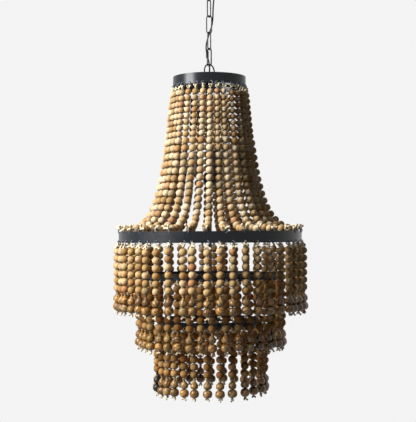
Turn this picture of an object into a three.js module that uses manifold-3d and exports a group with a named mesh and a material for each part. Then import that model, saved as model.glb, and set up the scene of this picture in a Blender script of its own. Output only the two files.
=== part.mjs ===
// A beaded chandelier: a chain from a ceiling cup, four black steel bands on a central rod,
// draped bead strings between the upper two bands, and three tiers of hanging bead strings.
// Millimetres, +Z up. The origin is on the ceiling, over the middle of the lamp.
// Azimuths are in degrees about +Z: 0 points to -Y, the front, and 90 to +X.
import * as THREE from "three";
import { mergeVertices } from "three/addons/utils/BufferGeometryUtils.js";
import Module from "manifold-3d";

const wasm = await Module();
wasm.setup();

// Clearances and the reach of a cutting tool past what it cuts
const seatGap = 0.3;
const cutOverrun = 2;
const weldReach = 1e-4;

// Facets round a wire, a turned pin or bore, a bulb and the ceiling cup
const wireSides = 8;
const pinSides = 12;
const cupSides = 24;
const ringArcSteps = 8;

// Ceiling fitting
const bracket = {
  length: 96,
  width: 20,
  thickness: 2.5,
  bossRadius: 9,
  bossDrop: 9,
  boreDepth: 8,
  screwInset: 12,
  screwHoleRadius: 2.4,
};
const canopy = { radius: 56, rimHeight: 5, shoulderRadius: 34, height: 24, wall: 1.2 };
const nipple = { radius: 5 };
const collar = { radius: 8, length: 19 };
const canopyRing = { outerRadius: 15, wireRadius: 2, twist: 20, drop: 42 };
const gland = { x: 24, y: 8, bodyRadius: 5.5, bodyLength: 8, neckRadius: 3.6, neckLength: 6 };

// Chain
const link = { length: 47, width: 15.5, wireRadius: 1.5, twists: [-60, 50, -10, 55] };
const linkArcSteps = 6;
const linkSides = 6;
const quickLink = { length: 47, width: 16, wireRadius: 1.75, twist: -40, mouth: 7, mouthDrop: 3 };
const sleeve = { length: 17, radius: 3.5 };
const hangLoop = { outerRadius: 19, wireRadius: 1.75, twist: 45, stemRadius: 6, stemLength: 31 };

// Cord: its radius and its route from the ceiling cup to the lamp, chosen by hand
const cordRadius = 1.8;
const cordRoute = [
  [24, 8, -32.3], [24, 8, -39], [23.2, 7.7, -50], [20.2, 6.5, -66], [16, 4.2, -84],
  [12.6, 1.6, -104], [10.6, -0.4, -122], [9.9, -0.6, -138], [9.3, 1.4, -153], [7.6, 4.4, -167],
  [4, 7.2, -180], [-0.6, 8.6, -193], [-4.6, 6.8, -207], [-7.2, 2.8, -219], [-7.6, -1.6, -230],
  [-6, -4.4, -242], [-3.4, -5.7, -254], [-0.9, -5.9, -265], [0.4, -5.2, -275], [0.5, -2.8, -284],
  [0.1, -0.7, -291], [0, 0, -296.5], [0, 0, -300.6],
];
const cordSides = 8;
const cordStep = 8;

// Steel bands: outer radius, height of the top edge and depth of the strip
const bandWall = 1.5;
const bands = {
  top: { radius: 90, top: -301.2, depth: 25, facets: 30 },
  middle: { radius: 225, top: -681.9, depth: 26.6, facets: 48 },
  second: { radius: 172, top: -785, depth: 13.5, facets: 40 },
  third: { radius: 128.5, top: -896.4, depth: 17, facets: 35 },
};

// Frame inside the lamp
const topSpider = { hubRadius: 24, thickness: 3, armWidth: 12, arms: 3, azimuth: 20, drop: 12.5 };
const hangNut = { radius: 10, thickness: 6 };
const rod = { radius: 4, tail: 3 };
const spider = { hubRadius: 13, hubDepth: 9, thickness: 3, armWidth: 8, arms: 3, azimuth: 20 };
const frameRod = { radius: 1.7, topReach: 16, azimuths: [-40, 80, 200] };

// Lamp holders and bulbs round the rod
const cup = { top: -545, plateRadius: 43, plateThickness: 3, bodyRadius: 20, bodyDepth: 26 };
const holders = { count: 3, azimuth: 20, reach: 30, radius: 12.5, height: 60, boreDepth: 26 };
const bulb = { capRadius: 6.9, capLength: 25, glassRadius: 17.5, glassLength: 84, tipRadius: 3 };
bulb.neckShare = 0.6;
bulb.bellyHeightShare = 0.36;
bulb.shoulderShare = 0.7;
bulb.shoulderHeightShare = 0.68;

// Bead strings
const roundBead = { radius: 9, pitch: 17.8 };
const smallBead = { radius: 7.2, pitch: 14.6, count: 8 };
const knotRadius = 3.3;
const stringSides = 5;
const drape = {
  strings: 33,
  groups: 3,
  azimuth: -0.5,
  topDrop: 3,
  headLength: 11,
  kneeReach: 22,
  kneeRise: 122,
  sagReach: 35,
  sagDrop: 8,
  endInset: 3.5,
  endRise: 4.6,
  smallRings: 2,
  roundRings: 5,
  railWidth: 3.2,
  railDepth: 2.6,
  footWidth: 7,
};

// How far the hanging strings stand out from the face of their band, and each tier's curtains:
// their strings, the azimuth of the first one's middle, and how far the beads hang below the band
const stringOverhang = 3.5;
const tiers = [
  { name: "first_tier", band: bands.middle, groups: 8, strings: 6, azimuth: -5.65, drop: 11.5 },
  { name: "second_tier", band: bands.second, groups: 8, strings: 5, azimuth: -6.6, drop: 9 },
  { name: "third_tier", band: bands.third, groups: 7, strings: 4, azimuth: -7.6, drop: 5 },
];
const tierString = {
  rounds: 6,
  gourdLength: 25,
  gourdRadius: 8.8,
  gourdNeckRadius: 3.6,
  gourdNeckDepth: 5,
  gourdBellyShare: 0.68,
  endBeadRadius: 11.6,
  endBeadDepth: 21.6,
  waistRadius: 4.4,
  tailDepth: 6,
};

// Eyes that a tier hangs by, each through a slot near the lower edge of its band
const eye = { bridge: 4, thickness: 1.2, halfWidth: 2.6, width: 8, slotHeight: 3, sideGap: 0.5 };
const rail = { width: 3.2, depth: 2.2, gap: 0.8, overhangShare: 0.12 };

// Finishes
const finish = {
  blackSteel: new THREE.MeshStandardMaterial({ color: 0x1d2024, roughness: 0.5, metalness: 0.6 }),
  chainSteel: new THREE.MeshStandardMaterial({ color: 0x17191d, roughness: 0.4, metalness: 0.8 }),
  cordBlack: new THREE.MeshStandardMaterial({ color: 0x0e0e10, roughness: 0.6, metalness: 0 }),
  holderBlack: new THREE.MeshStandardMaterial({ color: 0x151517, roughness: 0.5, metalness: 0 }),
  glass: new THREE.MeshStandardMaterial({ color: 0xf3ead8, roughness: 0.1, metalness: 0 }),
  naturalWood: new THREE.MeshStandardMaterial({ color: 0xc39a6b, roughness: 0.7, metalness: 0 }),
  turnedWood: new THREE.MeshStandardMaterial({ color: 0xb5813f, roughness: 0.5, metalness: 0 }),
};

const lamp = new THREE.Group();
const radians = THREE.MathUtils.degToRad;

// Geometry helpers

function toSolid(geometry) {
  const bare = geometry.clone();
  bare.deleteAttribute("normal");
  bare.deleteAttribute("uv");
  const merged = mergeVertices(bare, weldReach);
  return new wasm.Manifold(
    new wasm.Mesh({
      numProp: 3,
      vertProperties: merged.attributes.position.array,
      triVerts: new Uint32Array(merged.index.array),
    }),
  );
}

function toGeometry(solid) {
  const mesh = solid.getMesh();
  const geometry = new THREE.BufferGeometry();
  geometry.setAttribute("position", new THREE.BufferAttribute(mesh.vertProperties, 3));
  geometry.setIndex(new THREE.BufferAttribute(mesh.triVerts, 1));
  geometry.computeVertexNormals();
  return geometry;
}

function join(geometries) {
  return geometries.map(toSolid).reduce((whole, piece) => whole.add(piece));
}

function addPiece(name, geometry, material, parent = lamp) {
  const mesh = new THREE.Mesh(geometry, material);
  mesh.name = name;
  parent.add(mesh);
  return mesh;
}

// A profile of [radius, height] points turned about the Z axis, going up its outer side
function turned(profile, sides) {
  const points = profile.map(([radius, height]) => new THREE.Vector2(radius, height));
  return new THREE.LatheGeometry(points, sides).rotateX(Math.PI / 2);
}

function disc(radius, bottom, top, sides) {
  return turned([[0, bottom], [radius, bottom], [radius, top], [0, top]], sides);
}

function tubeRing(inner, outer, bottom, top, sides) {
  return turned(
    [[inner, bottom], [outer, bottom], [outer, top], [inner, top], [inner, bottom]],
    sides,
  );
}

// The corner radius of a bore whose flat sides clear a round pin by the seat gap
function boreFor(pinRadius, sides) {
  return (pinRadius + seatGap) / Math.cos(Math.PI / sides);
}

function block(sizeX, sizeY, sizeZ, x = 0, y = 0, z = 0) {
  return new THREE.BoxGeometry(sizeX, sizeY, sizeZ).translate(x, y, z);
}

// Rings of points about a list of centres; each ring lies across the path
function skin(rings, closed) {
  const sides = rings[0].length;
  const points = rings.flat();
  const faces = [];
  const spans = closed ? rings.length : rings.length - 1;
  for (let i = 0; i < spans; i++) {
    for (let j = 0; j < sides; j++) {
      const a = i * sides + j;
      const b = i * sides + ((j + 1) % sides);
      const c = ((i + 1) % rings.length) * sides + j;
      const d = ((i + 1) % rings.length) * sides + ((j + 1) % sides);
      faces.push(a, b, d, a, d, c);
    }
  }
  if (!closed) {
    const last = (rings.length - 1) * sides;
    for (let j = 1; j < sides - 1; j++) {
      faces.push(0, j + 1, j, last, last + j, last + j + 1);
    }
  }
  const geometry = new THREE.BufferGeometry().setFromPoints(points);
  geometry.setIndex(faces);
  return geometry;
}

// A ring of points about a centre, in the plane of two unit vectors
function ringAt(centre, outward, across, radius, sides) {
  return Array.from({ length: sides }, (unused, j) => {
    const turn = (2 * Math.PI * j) / sides;
    return centre
      .clone()
      .addScaledVector(outward, radius * Math.cos(turn))
      .addScaledVector(across, radius * Math.sin(turn));
  });
}

// A wire bent to a long round-ended loop in the XZ plane, its middle at the origin
function wireLoop(length, width, wireRadius, arcSteps, sides) {
  const arcRadius = width / 2 - wireRadius;
  const halfStraight = length / 2 - wireRadius - arcRadius;
  const across = new THREE.Vector3(0, 1, 0);
  const rings = [];
  for (const end of [1, -1]) {
    for (let k = 0; k <= arcSteps; k++) {
      if (halfStraight === 0 && k === arcSteps) continue;
      const turn = (end > 0 ? 0 : Math.PI) + (Math.PI * k) / arcSteps;
      const outward = new THREE.Vector3(Math.cos(turn), 0, Math.sin(turn));
      const centre = outward.clone().multiplyScalar(arcRadius);
      centre.z += end * halfStraight;
      rings.push(ringAt(centre, outward, across, wireRadius, sides));
    }
  }
  return skin(rings, true);
}

// A straight bar between two points
function bar(from, to, radius, sides) {
  const along = to.clone().sub(from);
  const geometry = new THREE.CylinderGeometry(radius, radius, along.length(), sides);
  const turn = new THREE.Quaternion().setFromUnitVectors(
    new THREE.Vector3(0, 1, 0),
    along.clone().normalize(),
  );
  const middle = from.clone().add(to).multiplyScalar(1 / 2);
  return geometry.applyQuaternion(turn).translate(middle.x, middle.y, middle.z);
}

// A point at a radius and azimuth about the lamp's axis
function around(reach, azimuth, height) {
  const turn = radians(azimuth);
  return new THREE.Vector3(reach * Math.sin(turn), -reach * Math.cos(turn), height);
}

// A group whose +X points outward at an azimuth and whose +Y runs along the band
function groupAt(reach, azimuth, height) {
  const group = new THREE.Group();
  group.position.copy(around(reach, azimuth, height));
  group.rotation.z = radians(azimuth) - Math.PI / 2;
  return group;
}

// A flat arc about the lamp's axis, in the frame of a group at the given reach
function arcRail(inner, outer, bottom, depth, halfAngle, segments, originReach) {
  const shape = new THREE.Shape();
  shape.absarc(0, 0, outer, -radians(halfAngle), radians(halfAngle), false);
  shape.absarc(0, 0, inner, radians(halfAngle), -radians(halfAngle), true);
  const options = { depth, bevelEnabled: false, curveSegments: segments };
  return new THREE.ExtrudeGeometry(shape, options).translate(-originReach, 0, bottom);
}

// Ceiling fitting

function addCeilingFitting() {
  const canopyBottom = -canopy.height;
  const bossBottom = -bracket.thickness - bracket.bossDrop;
  const base = join([
    block(bracket.length, bracket.width, bracket.thickness, 0, 0, -bracket.thickness / 2),
    disc(bracket.bossRadius, bossBottom, -bracket.thickness / 2, pinSides),
  ]);
  const boreTop = bossBottom + bracket.boreDepth;
  const boreBottom = bossBottom - cutOverrun;
  const screwHole = (x) => {
    const drill = disc(bracket.screwHoleRadius, -bracket.thickness - cutOverrun, cutOverrun, wireSides);
    return toSolid(drill.translate(x, 0, 0));
  };
  const bored = base
    .subtract(toSolid(disc(boreFor(nipple.radius, pinSides), boreBottom, boreTop, pinSides)))
    .subtract(screwHole(bracket.screwInset - bracket.length / 2))
    .subtract(screwHole(bracket.length / 2 - bracket.screwInset));
  addPiece("ceiling_bracket", toGeometry(bored), finish.blackSteel);

  const wall = canopy.wall;
  const hole = boreFor(nipple.radius, pinSides);
  const shell = turned(
    [
      [hole, canopyBottom],
      [canopy.shoulderRadius, canopyBottom],
      [canopy.radius, -canopy.rimHeight],
      [canopy.radius, 0],
      [canopy.radius - wall, 0],
      [canopy.radius - wall, -canopy.rimHeight],
      [canopy.shoulderRadius, canopyBottom + wall],
      [hole, canopyBottom + wall],
      [hole, canopyBottom],
    ],
    cupSides,
  );
  const glandHole = disc(
    boreFor(gland.neckRadius, pinSides),
    canopyBottom - cutOverrun,
    canopyBottom + wall + cutOverrun,
    pinSides,
  ).translate(gland.x, gland.y, 0);
  addPiece("canopy", toGeometry(toSolid(shell).subtract(toSolid(glandHole))), finish.blackSteel);

  const collarTop = canopyBottom - seatGap;
  const ringCentre = -canopyRing.drop - canopyRing.outerRadius;
  const ring = wireLoop(
    2 * canopyRing.outerRadius,
    2 * canopyRing.outerRadius,
    canopyRing.wireRadius,
    ringArcSteps,
    wireSides,
  )
    .rotateZ(radians(canopyRing.twist))
    .translate(0, 0, ringCentre);
  const loop = join([
    disc(nipple.radius, collarTop - cutOverrun, boreTop - seatGap, pinSides),
    disc(collar.radius, collarTop - collar.length, collarTop, pinSides),
    ring,
  ]);
  addPiece("canopy_loop", toGeometry(loop), finish.blackSteel);

  const glandBody = turned(
    [
      [0, collarTop - gland.bodyLength + seatGap],
      [gland.bodyRadius, collarTop - gland.bodyLength + seatGap],
      [gland.bodyRadius, collarTop],
      [gland.neckRadius, collarTop],
      [gland.neckRadius, collarTop + gland.neckLength],
      [0, collarTop + gland.neckLength],
    ],
    pinSides,
  ).translate(gland.x, gland.y, 0);
  addPiece("cord_gland", glandBody, finish.cordBlack);
  return ringCentre - canopyRing.outerRadius + canopyRing.wireRadius;
}

// Chain: each loop hangs over the bottom wire of the one above

function addChain(ringBottom) {
  let wireAbove = canopyRing.wireRadius;
  let bottom = ringBottom;
  const hang = (size) => {
    const top = bottom + wireAbove + size.wireRadius + seatGap;
    const middle = top + size.wireRadius - size.length / 2;
    bottom = top - size.length + 2 * size.wireRadius;
    wireAbove = size.wireRadius;
    return middle;
  };
  link.twists.forEach((twist, i) => {
    const middle = hang(link);
    const loop = wireLoop(link.length, link.width, link.wireRadius, linkArcSteps, linkSides);
    const mesh = addPiece("chain_link_" + (i + 1), loop, finish.chainSteel);
    mesh.position.z = middle;
    mesh.rotation.z = radians(twist);
  });

  const middle = hang(quickLink);
  const quickGroup = new THREE.Group();
  quickGroup.position.z = middle;
  quickGroup.rotation.z = radians(quickLink.twist);
  lamp.add(quickGroup);
  const arcRadius = quickLink.width / 2 - quickLink.wireRadius;
  const straightTop = quickLink.length / 2 - quickLink.wireRadius - arcRadius;
  const mouth = block(
    2 * cutOverrun + 2 * quickLink.wireRadius,
    2 * cutOverrun + 2 * quickLink.wireRadius,
    quickLink.mouth,
    -arcRadius,
    0,
    straightTop - quickLink.mouthDrop - quickLink.mouth / 2,
  );
  const loop = wireLoop(
    quickLink.length,
    quickLink.width,
    quickLink.wireRadius,
    linkArcSteps,
    wireSides,
  );
  const opened = toGeometry(toSolid(loop).subtract(toSolid(mouth)));
  addPiece("quick_link", opened, finish.chainSteel, quickGroup);
  const nut = tubeRing(
    boreFor(quickLink.wireRadius, wireSides),
    sleeve.radius,
    straightTop - sleeve.length,
    straightTop,
    wireSides,
  );
  addPiece("quick_link_sleeve", nut, finish.chainSteel, quickGroup).position.x = -arcRadius;

  const ringMiddle = hang({ length: 2 * hangLoop.outerRadius, wireRadius: hangLoop.wireRadius });
  const ring = wireLoop(
    2 * hangLoop.outerRadius,
    2 * hangLoop.outerRadius,
    hangLoop.wireRadius,
    ringArcSteps,
    wireSides,
  )
    .rotateZ(radians(hangLoop.twist))
    .translate(0, 0, ringMiddle);
  const stemTop = ringMiddle - hangLoop.outerRadius + 2 * hangLoop.wireRadius + seatGap;
  const stemBottom = stemTop - hangLoop.stemLength;
  const stem = disc(hangLoop.stemRadius, stemBottom, stemTop, pinSides);
  addPiece("hang_loop", toGeometry(join([ring, stem])), finish.blackSteel);
  return stemBottom;
}

function addCord() {
  const curve = new THREE.CatmullRomCurve3(cordRoute.map((p) => new THREE.Vector3(...p)));
  const section = new THREE.Shape();
  for (let i = 0; i <= cordSides; i++) {
    const turn = (2 * Math.PI * i) / cordSides;
    const x = cordRadius * Math.cos(turn);
    const y = cordRadius * Math.sin(turn);
    if (i === 0) section.moveTo(x, y);
    else if (i < cordSides) section.lineTo(x, y);
  }
  const steps = Math.round(curve.getLength() / cordStep);
  const tube = new THREE.ExtrudeGeometry(section, { steps, extrudePath: curve, bevelEnabled: false });
  addPiece("power_cord", tube, finish.cordBlack);
}

// Bands and frame

function bandInner(band) {
  return band.radius - bandWall;
}

function slotCut(band) {
  const bottom = band.top - band.depth + eye.bridge;
  return block(
    2 * cutOverrun + bandWall,
    eye.width + 2 * eye.sideGap,
    eye.slotHeight,
    0,
    0,
    bottom + eye.slotHeight / 2,
  );
}

// A strip whose flats lie at the band's radius, with a flat in front of each slot
function addBand(name, band, slots, azimuth) {
  const halfFacet = 180 / band.facets;
  const corner = 1 / Math.cos(radians(halfFacet));
  const bottom = band.top - band.depth;
  const ring = tubeRing(bandInner(band) * corner, band.radius * corner, bottom, band.top, band.facets);
  let strip = toSolid(ring.rotateZ(radians(azimuth - halfFacet)));
  for (let i = 0; i < slots; i++) {
    const place = groupAt(band.radius - bandWall / 2, azimuth + (360 * i) / slots, 0);
    place.updateMatrix();
    strip = strip.subtract(toSolid(slotCut(band).applyMatrix4(place.matrix)));
  }
  addPiece(name, toGeometry(strip), finish.blackSteel);
}

// A hub on a pin, with arms that reach the inside of a band
function addSpider(name, size, band, middle, pinRadius) {
  const arms = [];
  const armEnd = bandInner(band) - seatGap;
  const inset = size.hubRadius / 2;
  for (let i = 0; i < size.arms; i++) {
    const azimuth = size.azimuth + (360 * i) / size.arms;
    const arm = block(armEnd - inset, size.armWidth, size.thickness);
    arm.translate((armEnd + inset) / 2, 0, middle);
    arms.push(arm.rotateZ(radians(azimuth) - Math.PI / 2));
  }
  const depth = size.hubDepth ?? size.thickness;
  const hub = disc(size.hubRadius, middle - depth / 2, middle + depth / 2, pinSides);
  const bore = disc(
    boreFor(pinRadius, pinSides),
    middle - depth / 2 - cutOverrun,
    middle + depth / 2 + cutOverrun,
    pinSides,
  );
  addPiece(name, toGeometry(join([hub, ...arms]).subtract(toSolid(bore))), finish.blackSteel);
}

function addFrame(stemBottom) {
  addBand("top_band", bands.top, 0, 0);
  const spiderMiddle = bands.top.top - topSpider.drop;
  addSpider("top_spider", topSpider, bands.top, spiderMiddle, hangLoop.stemRadius);
  const plateBottom = spiderMiddle - topSpider.thickness / 2;
  const nutTop = plateBottom - seatGap;
  addPiece(
    "hang_loop_nut",
    tubeRing(
      boreFor(hangLoop.stemRadius, pinSides),
      hangNut.radius,
      nutTop - hangNut.thickness,
      nutTop,
      pinSides,
    ),
    finish.blackSteel,
  );

  addBand("middle_band", bands.middle, tiers[0].groups, tiers[0].azimuth);
  addBand("second_band", bands.second, tiers[1].groups, tiers[1].azimuth);
  addBand("third_band", bands.third, tiers[2].groups, tiers[2].azimuth);
  const middles = ["middle", "second", "third"].map((name) => {
    const band = bands[name];
    const middle = band.top - band.depth / 2;
    const raised = name === "middle" ? middle + spider.thickness : middle + spider.thickness / 2;
    addSpider(name + "_spider", spider, band, raised, rod.radius);
    return raised;
  });
  const rodBottom = middles[2] - spider.hubDepth / 2 - rod.tail;
  const shaft = disc(rod.radius, rodBottom, stemBottom - seatGap, pinSides);
  addPiece("centre_rod", shaft, finish.blackSteel);

  // Each rod leans out from the top plate to the inside of the second band
  const footHeight = bands.second.top - bands.second.depth / 2;
  const wallReach = bandInner(bands.second);
  const lean = Math.atan2(wallReach - frameRod.topReach, plateBottom - footHeight);
  const head = plateBottom - seatGap - frameRod.radius * Math.sin(lean);
  const footReach = wallReach - seatGap - frameRod.radius * Math.cos(lean);
  frameRod.azimuths.forEach((azimuth, i) => {
    const from = around(footReach, azimuth, footHeight);
    const to = around(frameRod.topReach, azimuth, head);
    addPiece("frame_rod_" + (i + 1), bar(from, to, frameRod.radius, wireSides), finish.blackSteel);
  });
}

// Lamp holders and bulbs

function addLights() {
  const bore = disc(
    boreFor(rod.radius, pinSides),
    cup.top - cup.bodyDepth - cutOverrun,
    cup.top + cutOverrun,
    pinSides,
  );
  const plate = turned(
    [
      [0, cup.top - cup.bodyDepth],
      [cup.bodyRadius / 2, cup.top - cup.bodyDepth],
      [cup.bodyRadius, cup.top - cup.plateThickness],
      [cup.plateRadius, cup.top - cup.plateThickness],
      [cup.plateRadius, cup.top],
      [0, cup.top],
    ],
    cupSides,
  );
  addPiece("wiring_cup", toGeometry(toSolid(plate).subtract(toSolid(bore))), finish.blackSteel);

  const holderBottom = cup.top + seatGap;
  const holderTop = holderBottom + holders.height;
  const boreRadius = boreFor(bulb.capRadius, pinSides);
  for (let i = 0; i < holders.count; i++) {
    const azimuth = holders.azimuth + (360 * i) / holders.count;
    const place = around(holders.reach, azimuth, 0);
    const sleeveTube = turned(
      [
        [0, holderBottom],
        [holders.radius, holderBottom],
        [holders.radius, holderTop],
        [boreRadius, holderTop],
        [boreRadius, holderTop - holders.boreDepth],
        [0, holderTop - holders.boreDepth],
      ],
      pinSides,
    );
    addPiece("lamp_holder_" + (i + 1), sleeveTube, finish.holderBlack).position.copy(place);

    const glassBottom = holderTop + seatGap;
    const belly = glassBottom + bulb.glassLength * bulb.bellyHeightShare;
    const shoulder = glassBottom + bulb.glassLength * bulb.shoulderHeightShare;
    const glass = turned(
      [
        [0, glassBottom - bulb.capLength],
        [bulb.capRadius, glassBottom - bulb.capLength],
        [bulb.capRadius, glassBottom],
        [bulb.glassRadius * bulb.neckShare, glassBottom],
        [bulb.glassRadius, belly],
        [bulb.glassRadius * bulb.shoulderShare, shoulder],
        [bulb.tipRadius, glassBottom + bulb.glassLength],
        [0, glassBottom + bulb.glassLength],
      ],
      pinSides,
    );
    addPiece("bulb_" + (i + 1), glass, finish.glass).position.copy(place);
  }
}

// Draped strings between the top and middle bands, as three curtains with a rail at each end

function drapedString() {
  const topReach = bands.top.radius;
  const topHeight = bands.top.top - bands.top.depth - drape.topDrop;
  const endReach = bands.middle.radius - drape.endInset;
  const kneeHeight = bands.middle.top + drape.kneeRise;
  const sagHeight = bands.middle.top - drape.sagDrop;
  const curve = new THREE.CubicBezierCurve3(
    new THREE.Vector3(topReach, 0, topHeight),
    new THREE.Vector3(topReach + drape.kneeReach, 0, kneeHeight),
    new THREE.Vector3(topReach + drape.sagReach, 0, sagHeight),
    new THREE.Vector3(endReach, 0, bands.middle.top + drape.endRise),
  );
  const across = new THREE.Vector3(0, 1, 0);
  const length = curve.getLength();
  const headShare = drape.headLength / length;
  const smallShare = (smallBead.pitch * smallBead.count) / length;
  const stations = [{ share: 0, radius: knotRadius }];
  for (let i = 0; i <= drape.smallRings; i++) {
    const share = headShare + (smallShare * i) / drape.smallRings;
    stations.push({ share, radius: i ? smallBead.radius : knotRadius });
  }
  const roundsShare = headShare + smallShare;
  for (let i = 1; i <= drape.roundRings; i++) {
    const share = roundsShare + ((1 - roundsShare) * i) / drape.roundRings;
    stations.push({ share, radius: i < drape.roundRings ? roundBead.radius : knotRadius });
  }
  const rings = stations.map(({ share, radius }) => {
    const tangent = curve.getTangentAt(share);
    const inward = new THREE.Vector3(tangent.z, 0, -tangent.x);
    return ringAt(curve.getPointAt(share), inward, across, radius, stringSides);
  });
  return skin(rings, false);
}

function addDrapes() {
  const perGroup = drape.strings / drape.groups;
  const pitch = 360 / drape.strings;
  const halfAngle = (pitch * (perGroup - 1)) / 2 + pitch * rail.overhangShare;
  const topEdge = bands.top.top - bands.top.depth - seatGap;
  const string = drapedString();
  for (let g = 0; g < drape.groups; g++) {
    const pieces = [
      arcRail(
        bands.top.radius - drape.railWidth / 2,
        bands.top.radius + drape.railWidth / 2,
        topEdge - 2 * drape.railDepth,
        2 * drape.railDepth,
        halfAngle,
        perGroup,
        0,
      ),
      arcRail(
        bands.middle.radius - drape.footWidth,
        bands.middle.radius,
        bands.middle.top + seatGap,
        drape.railDepth,
        halfAngle,
        perGroup,
        0,
      ),
    ];
    for (let s = 0; s < perGroup; s++) {
      const offset = (s - (perGroup - 1) / 2) * pitch;
      pieces.push(string.clone().rotateZ(radians(offset)));
    }
    const group = groupAt(0, drape.azimuth + (360 * g) / drape.groups, 0);
    lamp.add(group);
    addPiece("draped_strings_" + (g + 1), toGeometry(join(pieces)), finish.naturalWood, group);
  }
}

// A hanging string's outline, from the wire at its head to the tail of its knot
function hangingString(drop) {
  const roundsTop = -drop;
  const roundsBottom = roundsTop - roundBead.pitch * tierString.rounds;
  const gourdBottom = roundsBottom - tierString.gourdLength;
  const belly = roundsBottom - tierString.gourdLength * tierString.gourdBellyShare;
  const endBeadBottom = gourdBottom - tierString.endBeadDepth;
  return turned(
    [
      [0, endBeadBottom - tierString.tailDepth],
      [tierString.endBeadRadius, (gourdBottom + endBeadBottom) / 2],
      [tierString.waistRadius, gourdBottom],
      [tierString.gourdRadius, belly],
      [tierString.gourdNeckRadius, roundsBottom - tierString.gourdNeckDepth],
      [roundBead.radius, roundsBottom],
      [roundBead.radius, roundsTop],
      [0, -rail.gap - rail.depth / 2],
    ],
    stringSides,
  );
}

// Hanging strings, in curtains that swing on an eye through their band
function addTier(tier) {
  const band = tier.band;
  const reach = band.radius + stringOverhang;
  const hingeReach = band.radius - bandWall / 2;
  const hingeHeight = band.top - band.depth + eye.bridge + seatGap;
  const edge = -eye.bridge - seatGap;
  const pitch = 360 / (tier.groups * tier.strings);
  const halfAngle = (pitch * (tier.strings - 1)) / 2 + pitch * rail.overhangShare;
  const railTop = edge - rail.gap;
  const string = hangingString(tier.drop).translate(0, 0, edge);

  // The eye is a flat frame round the strip below its slot, with its foot in the rail
  const outerHalf = eye.halfWidth + eye.thickness;
  const foot = railTop - rail.depth;
  const frame = new THREE.Shape();
  frame.moveTo(-outerHalf, foot);
  frame.lineTo(outerHalf, foot);
  frame.lineTo(outerHalf, eye.thickness);
  frame.lineTo(-outerHalf, eye.thickness);
  frame.closePath();
  const window = new THREE.Path();
  window.moveTo(-eye.halfWidth, railTop);
  window.lineTo(-eye.halfWidth, 0);
  window.lineTo(eye.halfWidth, 0);
  window.lineTo(eye.halfWidth, railTop);
  window.closePath();
  frame.holes.push(window);
  const eyePiece = new THREE.ExtrudeGeometry(frame, { depth: eye.width, bevelEnabled: false })
    .translate(0, 0, -eye.width / 2)
    .rotateX(Math.PI / 2);

  for (let g = 0; g < tier.groups; g++) {
    const outer = reach + rail.width / 2;
    const inner = Math.min(reach, hingeReach) - rail.width / 2;
    const pieces = [
      eyePiece,
      arcRail(inner, outer, railTop - rail.depth, rail.depth, halfAngle, tier.strings, hingeReach),
    ];
    for (let s = 0; s < tier.strings; s++) {
      const turn = radians((s - (tier.strings - 1) / 2) * pitch);
      const x = reach * Math.cos(turn) - hingeReach;
      pieces.push(string.clone().translate(x, reach * Math.sin(turn), 0));
    }
    const group = groupAt(hingeReach, tier.azimuth + (360 * g) / tier.groups, hingeHeight);
    lamp.add(group);
    addPiece(tier.name + "_strings_" + (g + 1), toGeometry(join(pieces)), finish.turnedWood, group);
  }
}

const ringBottom = addCeilingFitting();
const stemBottom = addChain(ringBottom);
addCord();
addFrame(stemBottom);
addLights();
addDrapes();
tiers.forEach(addTier);

export default lamp;
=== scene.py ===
import math

import bpy
import numpy as np
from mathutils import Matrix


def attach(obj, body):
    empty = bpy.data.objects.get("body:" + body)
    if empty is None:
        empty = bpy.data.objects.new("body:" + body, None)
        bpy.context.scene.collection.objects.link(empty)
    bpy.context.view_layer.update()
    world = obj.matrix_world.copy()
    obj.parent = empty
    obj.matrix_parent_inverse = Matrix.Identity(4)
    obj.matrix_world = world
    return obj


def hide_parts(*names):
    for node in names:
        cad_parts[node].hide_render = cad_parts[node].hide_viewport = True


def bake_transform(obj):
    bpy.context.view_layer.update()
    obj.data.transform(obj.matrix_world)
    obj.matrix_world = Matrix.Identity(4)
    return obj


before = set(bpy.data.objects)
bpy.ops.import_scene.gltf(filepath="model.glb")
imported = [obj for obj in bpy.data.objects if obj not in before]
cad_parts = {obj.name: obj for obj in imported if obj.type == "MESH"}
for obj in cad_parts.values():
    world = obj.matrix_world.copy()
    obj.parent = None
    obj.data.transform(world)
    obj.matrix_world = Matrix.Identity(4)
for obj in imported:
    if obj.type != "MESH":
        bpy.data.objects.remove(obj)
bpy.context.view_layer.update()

# A beaded chandelier, in metres. Azimuth 0 faces the camera at -Y and 90 points to +X.
chance = np.random.default_rng(11)
scene = bpy.context.scene
scene.view_settings.view_transform = "Standard"
millimetre = 0.001
nearly = 1e-6


# Puts arrays of points, four-sided and three-sided faces into one mesh object at the origin
def makePiece(name, shape, body, finish, replaced=(), sharpAngle=None):
    quads = shape["quads"]
    tris = shape["tris"]
    corners = np.concatenate([quads.ravel(), tris.ravel()]).astype(np.int32)
    starts = np.concatenate([np.arange(len(quads)) * 4, quads.size + np.arange(len(tris)) * 3])
    mesh = bpy.data.meshes.new(name)
    mesh.vertices.add(len(shape["points"]))
    mesh.vertices.foreach_set("co", shape["points"].astype(np.float32).ravel())
    mesh.loops.add(len(corners))
    mesh.loops.foreach_set("vertex_index", corners)
    mesh.polygons.add(len(starts))
    mesh.polygons.foreach_set("loop_start", starts.astype(np.int32))
    mesh.polygons.foreach_set("use_smooth", np.ones(len(starts), bool))
    mesh.update(calc_edges=True)
    if sharpAngle:
        mesh.set_sharp_from_angle(angle=math.radians(sharpAngle))
    kinds = {1: ("FLOAT", "value"), 3: ("FLOAT_VECTOR", "vector"), 4: ("FLOAT_COLOR", "color")}
    for key, values in shape["marks"].items():
        kind, field = kinds[values.shape[-1]]
        mark = mesh.attributes.new(key, kind, "POINT")
        mark.data.foreach_set(field, values.astype(np.float32).ravel())
    mesh.materials.append(materials[finish])
    piece = bpy.data.objects.new(name, mesh)
    scene.collection.objects.link(piece)
    if body:
        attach(piece, body)
    if replaced:
        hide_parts(*replaced)
    return piece


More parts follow.
